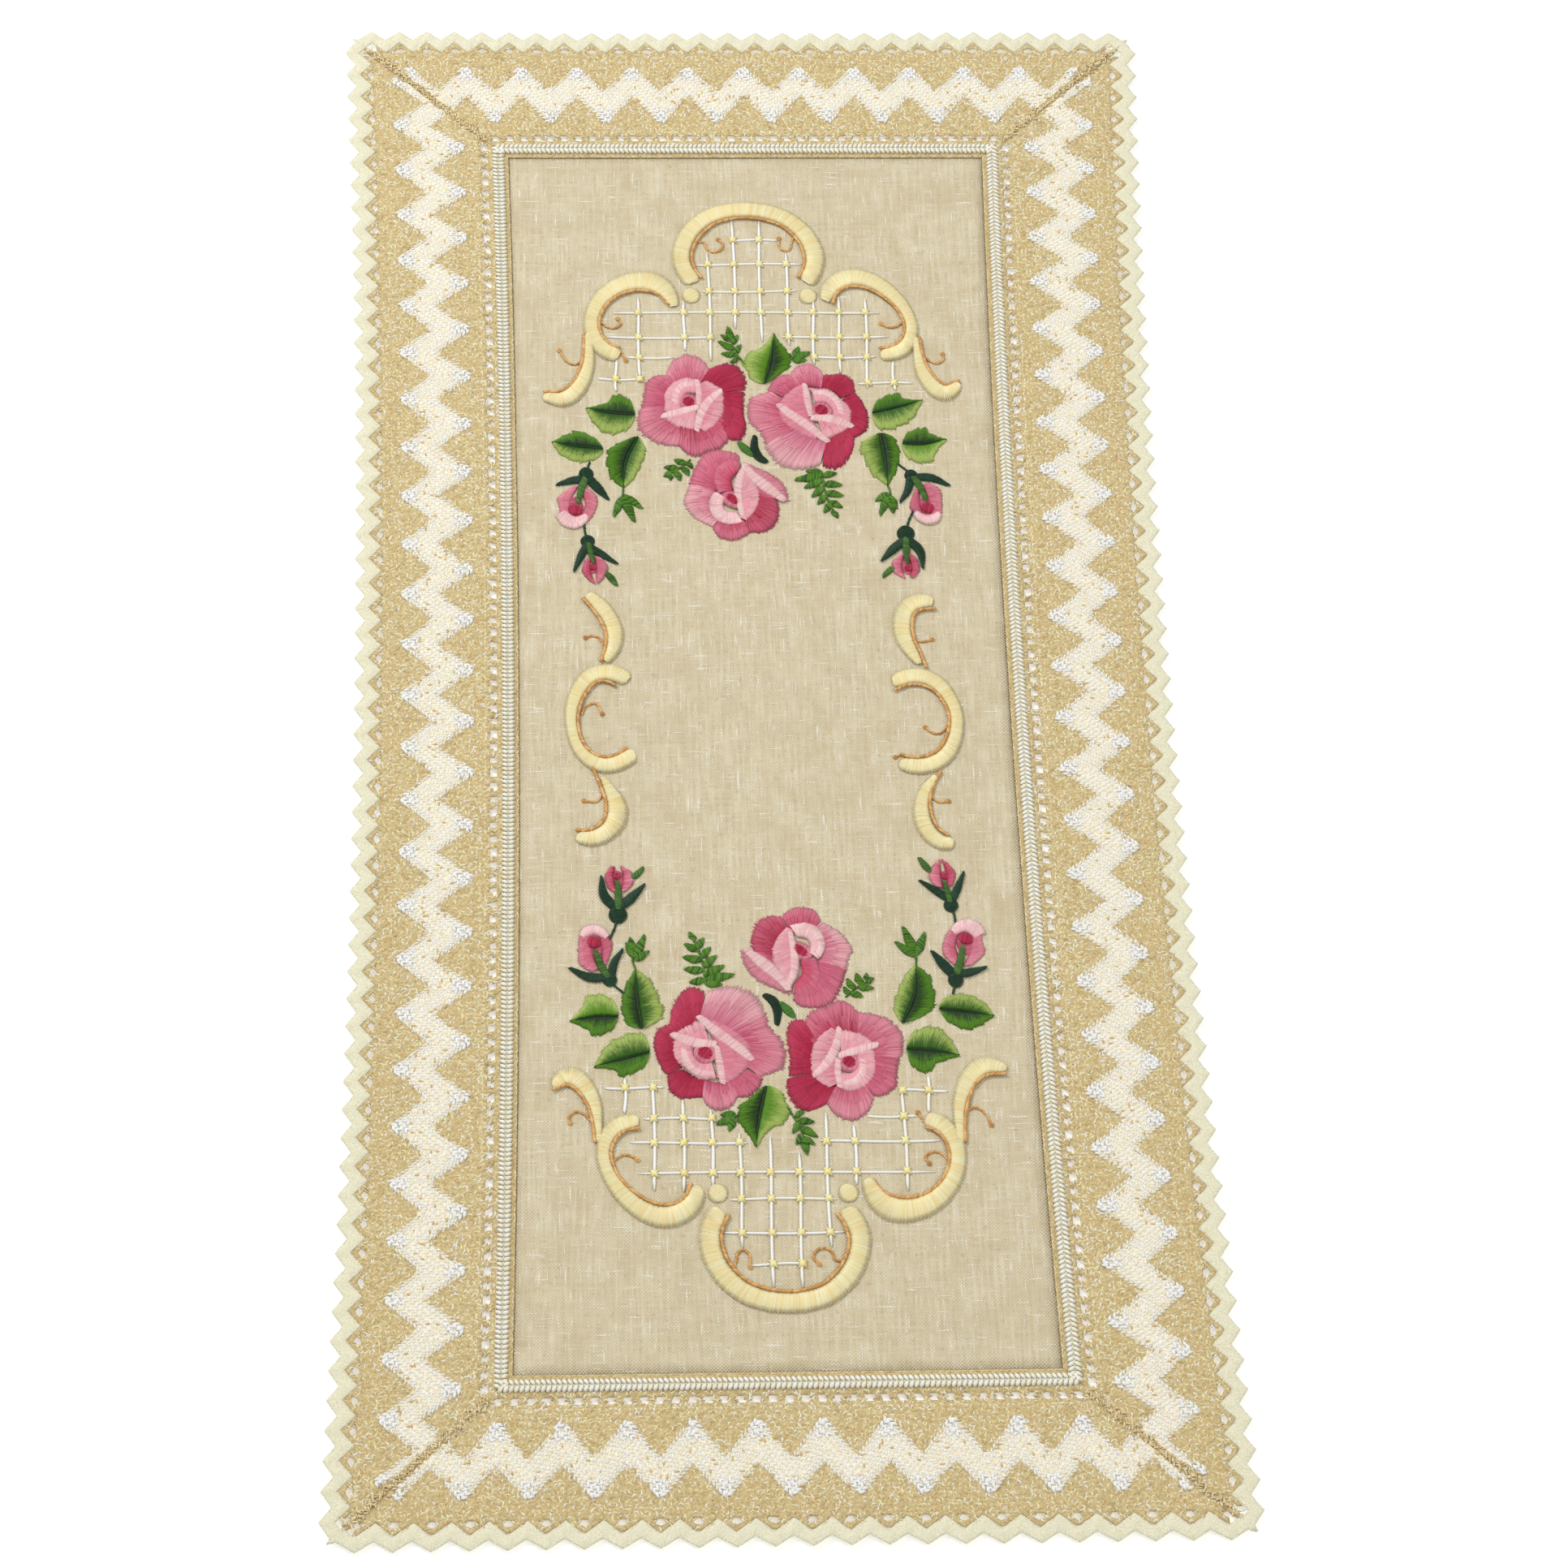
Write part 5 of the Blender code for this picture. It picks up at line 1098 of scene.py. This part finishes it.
# a sprig is (its stem, leaflets as (foot, tip, width))
SPRIGS = {
    "leaf_centre": [([(-3.6, 196), (-9, 205), (-11, 213)],
                     [(-9.4, 205, -16.6, 210.4, 3), (-8.4, 202, -15.4, 203.4, 2.8),
                      (-10.4, 210, -15.2, 214, 2.4),
                      (-9, 203.6, -5.6, 208, 2.4), (-10.4, 209, -7, 213.4, 2.6),
                      (-10.8, 211, -11.6, 218.6, 3),
                      (-7, 200, -11.4, 198.4, 2.4)]),
                    ([(16.6, 198.4), (19.6, 200), (21.6, 201.6)],
                     [(20.4, 200.8, 23.6, 206.6, 3), (21, 200.6, 28.8, 203.4, 3.2),
                      (20.4, 199.4, 26.6, 198.8, 3)])],
    "leaves_left": [([(-66.6, 127), (-67, 124), (-67, 121)],
                     [(-66.8, 121.6, -61.8, 107.6, 3.6), (-67.2, 121.4, -72, 110.8, 3.2),
                      (-66.4, 122.8, -57.8, 115, 3)])],
    "leaves_right": [([(65, 127.4), (66, 125), (66.4, 122)],
                      [(66.2, 122, 67, 112, 3.6), (65.4, 122, 60.4, 110.8, 3.2),
                       (65, 122.8, 58.6, 119, 2.8),
                       (66.8, 121.6, 69, 114.4, 2.4)])],
    "fern_left": [([(-32.8, 142.4), (-38, 138), (-44, 134.4)],
                   [(-36, 140, -40.4, 142.6, 2.8), (-39.5, 137.4, -45.8, 138.4, 2.8),
                    (-36.5, 138.6, -34.4, 133.4, 2.8),
                    (-40, 136.4, -38.8, 130.8, 3), (-43, 135, -43.6, 131, 2.6),
                    (-34.4, 141.4, -32.6, 137.4, 2.4),
                    (-43.4, 134.8, -46.4, 133.6, 2.4)])],
    "fern_right": [([(32.4, 135.6), (34, 123), (38.6, 110.6)],
                    [(32.6, 133, 19, 131, 3.6), (32.4, 134.6, 25, 136, 3), (33, 130.6, 23.6, 126.6, 3.4),
                     (33.4, 126.6, 27, 121.6, 3.2), (34.2, 121.6, 29.6, 117.6, 3),
                     (36, 117, 32.6, 112.8, 2.8),
                     (32.8, 133.6, 39.6, 134, 3), (33.4, 129, 42, 127.4, 3.2),
                     (34, 124, 42.4, 121.4, 3.2),
                     (35.4, 119, 41.6, 115, 3), (37.4, 113.6, 39, 109.4, 2.6)])],
}


def leaflet(u0, v0, u1, v1, width, turned, rng, shades):
    """A small pointed leaf as one band of stitches, widest before its middle."""
    width = width * 1.4
    path = [(u0, v0, width * 0.4), (u0 * 0.6 + u1 * 0.4, v0 * 0.6 + v1 * 0.4, width),
            (u1, v1, width * 0.35)]
    return satin_band(path, turned, rng, shades, 0.0009, lean=0.7)


for number, (end, turned) in enumerate((("far", False), ("near", True))):
    for place, part in enumerate(LEAVES):
        rng = np.random.default_rng(281 + 10 * number + place)
        bundles = []
        for vein, first, second, first_tones, second_tones in LEAVES[part]:
            for rim, (near_vein, near_rim) in ((first, first_tones), (second, second_tones)):
                bundles.append(filled(vein, rim, turned, rng, near_vein, near_rim, 0.00012, 0.0008,
                                      slant=(0.0, 0.86, 0.08, 0.92), teeth=5, sharp=2.2))
            bundles.append(stem_stitch(vein, turned, rng, (DARK, (34, 72, 28)), wide=0.0003, base=0.0002))
        for stem, leaflets in SPRIGS[part]:
            bundles.append(stem_stitch(stem, turned, rng, (GREEN, FRESH), wide=0.0004))
            bundles += [leaflet(*each, turned, rng, (FRESH, (96, 146, 50), GREEN)) for each in leaflets]
        threads(f"{end}_{part}_stitches", bundles, floss, (f"{end}_{part}",), slot="leaf_thread")


# ---- Rosebuds -----------------------------------------------------------------------------
# Two buds hang on each side of a motif: pink petals round a deep centre, a round dark hip, two
# long dark sepals and a brighter one down the middle, on thin dark stems.
HIP = ((34, 72, 48), (26, 60, 40))
BUDS = {
    "bud_spray_left": dict(
        petals=[([(-89, 127), (-86, 118), (-88, 111)],
                 [(-84.6, 127), (-79.6, 121), (-81, 113), (-84.6, 107.6)], MID, LIGHT, 0.0),
                ([(-89, 127.6), (-93, 119), (-93, 112)],
                 [(-93, 127), (-99.6, 121), (-98.6, 114), (-100, 110)], ROSE, LIGHT, 0.0),
                ([(-95, 114), (-91, 110.6), (-86.4, 112)],
                 [(-100.8, 110.8), (-97.6, 105.6), (-92, 103.6), (-86.6, 105.8), (-84, 109.6)],
                 PALE, BLUSH, 0.0004),
                ([(-83, 88.4), (-83.4, 81), (-82, 74)],
                 [(-86.6, 86.4), (-88.2, 80.6), (-84.8, 75.4), (-81.6, 73.2)], WINE, ROSE, 0.0),
                ([(-82, 88.4), (-81.4, 81), (-81, 74)],
                 [(-78, 87.4), (-75, 82.6), (-77, 77.2), (-80.4, 73.4)], MID, LIGHT, 0.0002)],
        hearts=[(-91, 114, 3.0, 3.4), (-82.6, 82.4, 1.8, 1.6)],
        hips=[(-85, 134.4, 3.7, 3.9), (-85, 97, 3.6, 3.4)],
        sepals=[[(-84.6, 131.6, 4), (-92, 130.8, 4.2), (-100, 128.4, 1.4)],
                [(-84.4, 132.6, 4.4), (-79.6, 126.6, 5), (-74.4, 119.8, 1.4)],
                [(-85.4, 95, 3.8), (-88.8, 88, 3.8), (-92.2, 80.2, 1.2)],
                [(-85, 94.6, 3.6), (-78.6, 89.8, 4), (-70.6, 84.2, 1.2)]],
        middles=[[(-85.4, 132, 3.6), (-87.4, 126, 4), (-89.6, 117.6, 2)],
                 [(-84.6, 96, 2.8), (-83.6, 90, 3), (-82.4, 84.6, 1.6)],
                 [(-76.6, 80.4, 1.6), (-74, 77, 3.6), (-71.2, 72.4, 1.8)]],
        stems=[[(-83, 141.4), (-84.2, 138), (-85, 134)], [(-86.4, 108), (-86.4, 103), (-85.4, 98)]]),
    "bud_spray_right": dict(
        petals=[([(82, 127), (85, 119), (86, 112)], [(86, 129), (91.6, 124.4), (92, 115), (91, 109)],
                 MID, LIGHT, 0.0),
                ([(81, 127), (81, 119), (82, 113)], [(78.6, 125), (75.6, 116), (77.4, 110)], MID,
                 ROSE, 0.0),
                ([(79.6, 113), (84, 110.6), (89, 112.4)],
                 [(77, 110.6), (79.6, 107), (84.5, 105), (89.4, 106.4), (91.4, 110.4)], PALE,
                 BLUSH, 0.0004),
                ([(72, 89), (70.6, 82), (71.6, 76)], [(69, 88.4), (65.2, 84.4), (66, 79), (70.6, 75.8)],
                 MID, LIGHT, 0.0),
                ([(73, 89), (74.6, 82), (74, 76)], [(75, 89), (78, 86.4), (79.2, 80.6), (76.4, 76)],
                 WINE, ROSE, 0.0002)],
        hearts=[(84.6, 114.4, 3.0, 3.4), (73.4, 81, 1.8, 1.8)],
        hips=[(77, 133, 3.4, 3.2), (73, 100.4, 4.5, 4.5)],
        sepals=[[(77.6, 132, 3.8), (87, 131.4, 4.6), (96, 126.8, 1.4)],
                [(76.6, 132.6, 3.8), (75.2, 125, 4), (70.8, 117.8, 1.4)],
                [(73.4, 97.6, 4.2), (66.4, 91.8, 4.8), (60, 85.2, 1.2)],
                [(73, 98, 4.2), (79.4, 90.8, 4.8), (80.6, 80.8, 1.2)]],
        middles=[[(78, 132, 3.2), (81.4, 125.6, 3.8), (84, 118, 2)],
                 [(73, 98, 3.2), (72.8, 91, 3.8), (73, 83.4, 2)],
                 [(67.4, 81.4, 1.6), (64.4, 80.4, 3.4), (60.4, 76.6, 1.8)]],
        stems=[[(70, 140), (73.6, 137), (77, 133.6)], [(78, 114.6), (75.4, 109), (73.4, 103)]]),
}
for number, (end, turned) in enumerate((("far", False), ("near", True))):
    for place, (part, spray) in enumerate(BUDS.items()):
        rng = np.random.default_rng(311 + 10 * number + place)
        bundles = [stem_stitch(stem, turned, rng, HIP, wide=0.0005) for stem in spray["stems"]]
        for foot, rim, near_foot, near_rim, over in spray["petals"]:
            bundles.append(filled(foot, rim, turned, rng, near_foot, near_rim, 0.0002 + over, 0.0008))
        for u, v, ru, rv in spray["hearts"]:
            bundles.append(satin_dot(u, v + 1.5, ru + 1.8, rv + 3.0, turned, rng, (MID, ROSE),
                                     0.0004, lean=0.1))
            bundles.append(satin_dot(u, v, ru, rv, turned, rng, (DEEP, WINE), 0.0006,
                                     lean=1.3, base=0.0008))
        for sepal in spray["sepals"]:
            bundles.append(satin_band(sepal, turned, rng, HIP, 0.0009, lean=0.7, base=0.0003))
        for middle in spray["middles"]:
            bundles.append(satin_band(middle, turned, rng,
                                      ((78, 118, 50), (92, 136, 58), (66, 104, 44)), 0.0009,
                                      lean=0.6, base=0.0007 if middle[0][2] > 2 else 0.0))
        for u, v, ru, rv in spray["hips"]:
            bundles.append(satin_dot(u, v, ru, rv, turned, rng, HIP, 0.0015, lean=0.2))
        threads(f"{end}_{part}_stitches", bundles, floss, (f"{end}_{part}",), slot="rose_thread")

size = [[list(corner) for corner in cad_box], [list(corner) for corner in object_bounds()]]
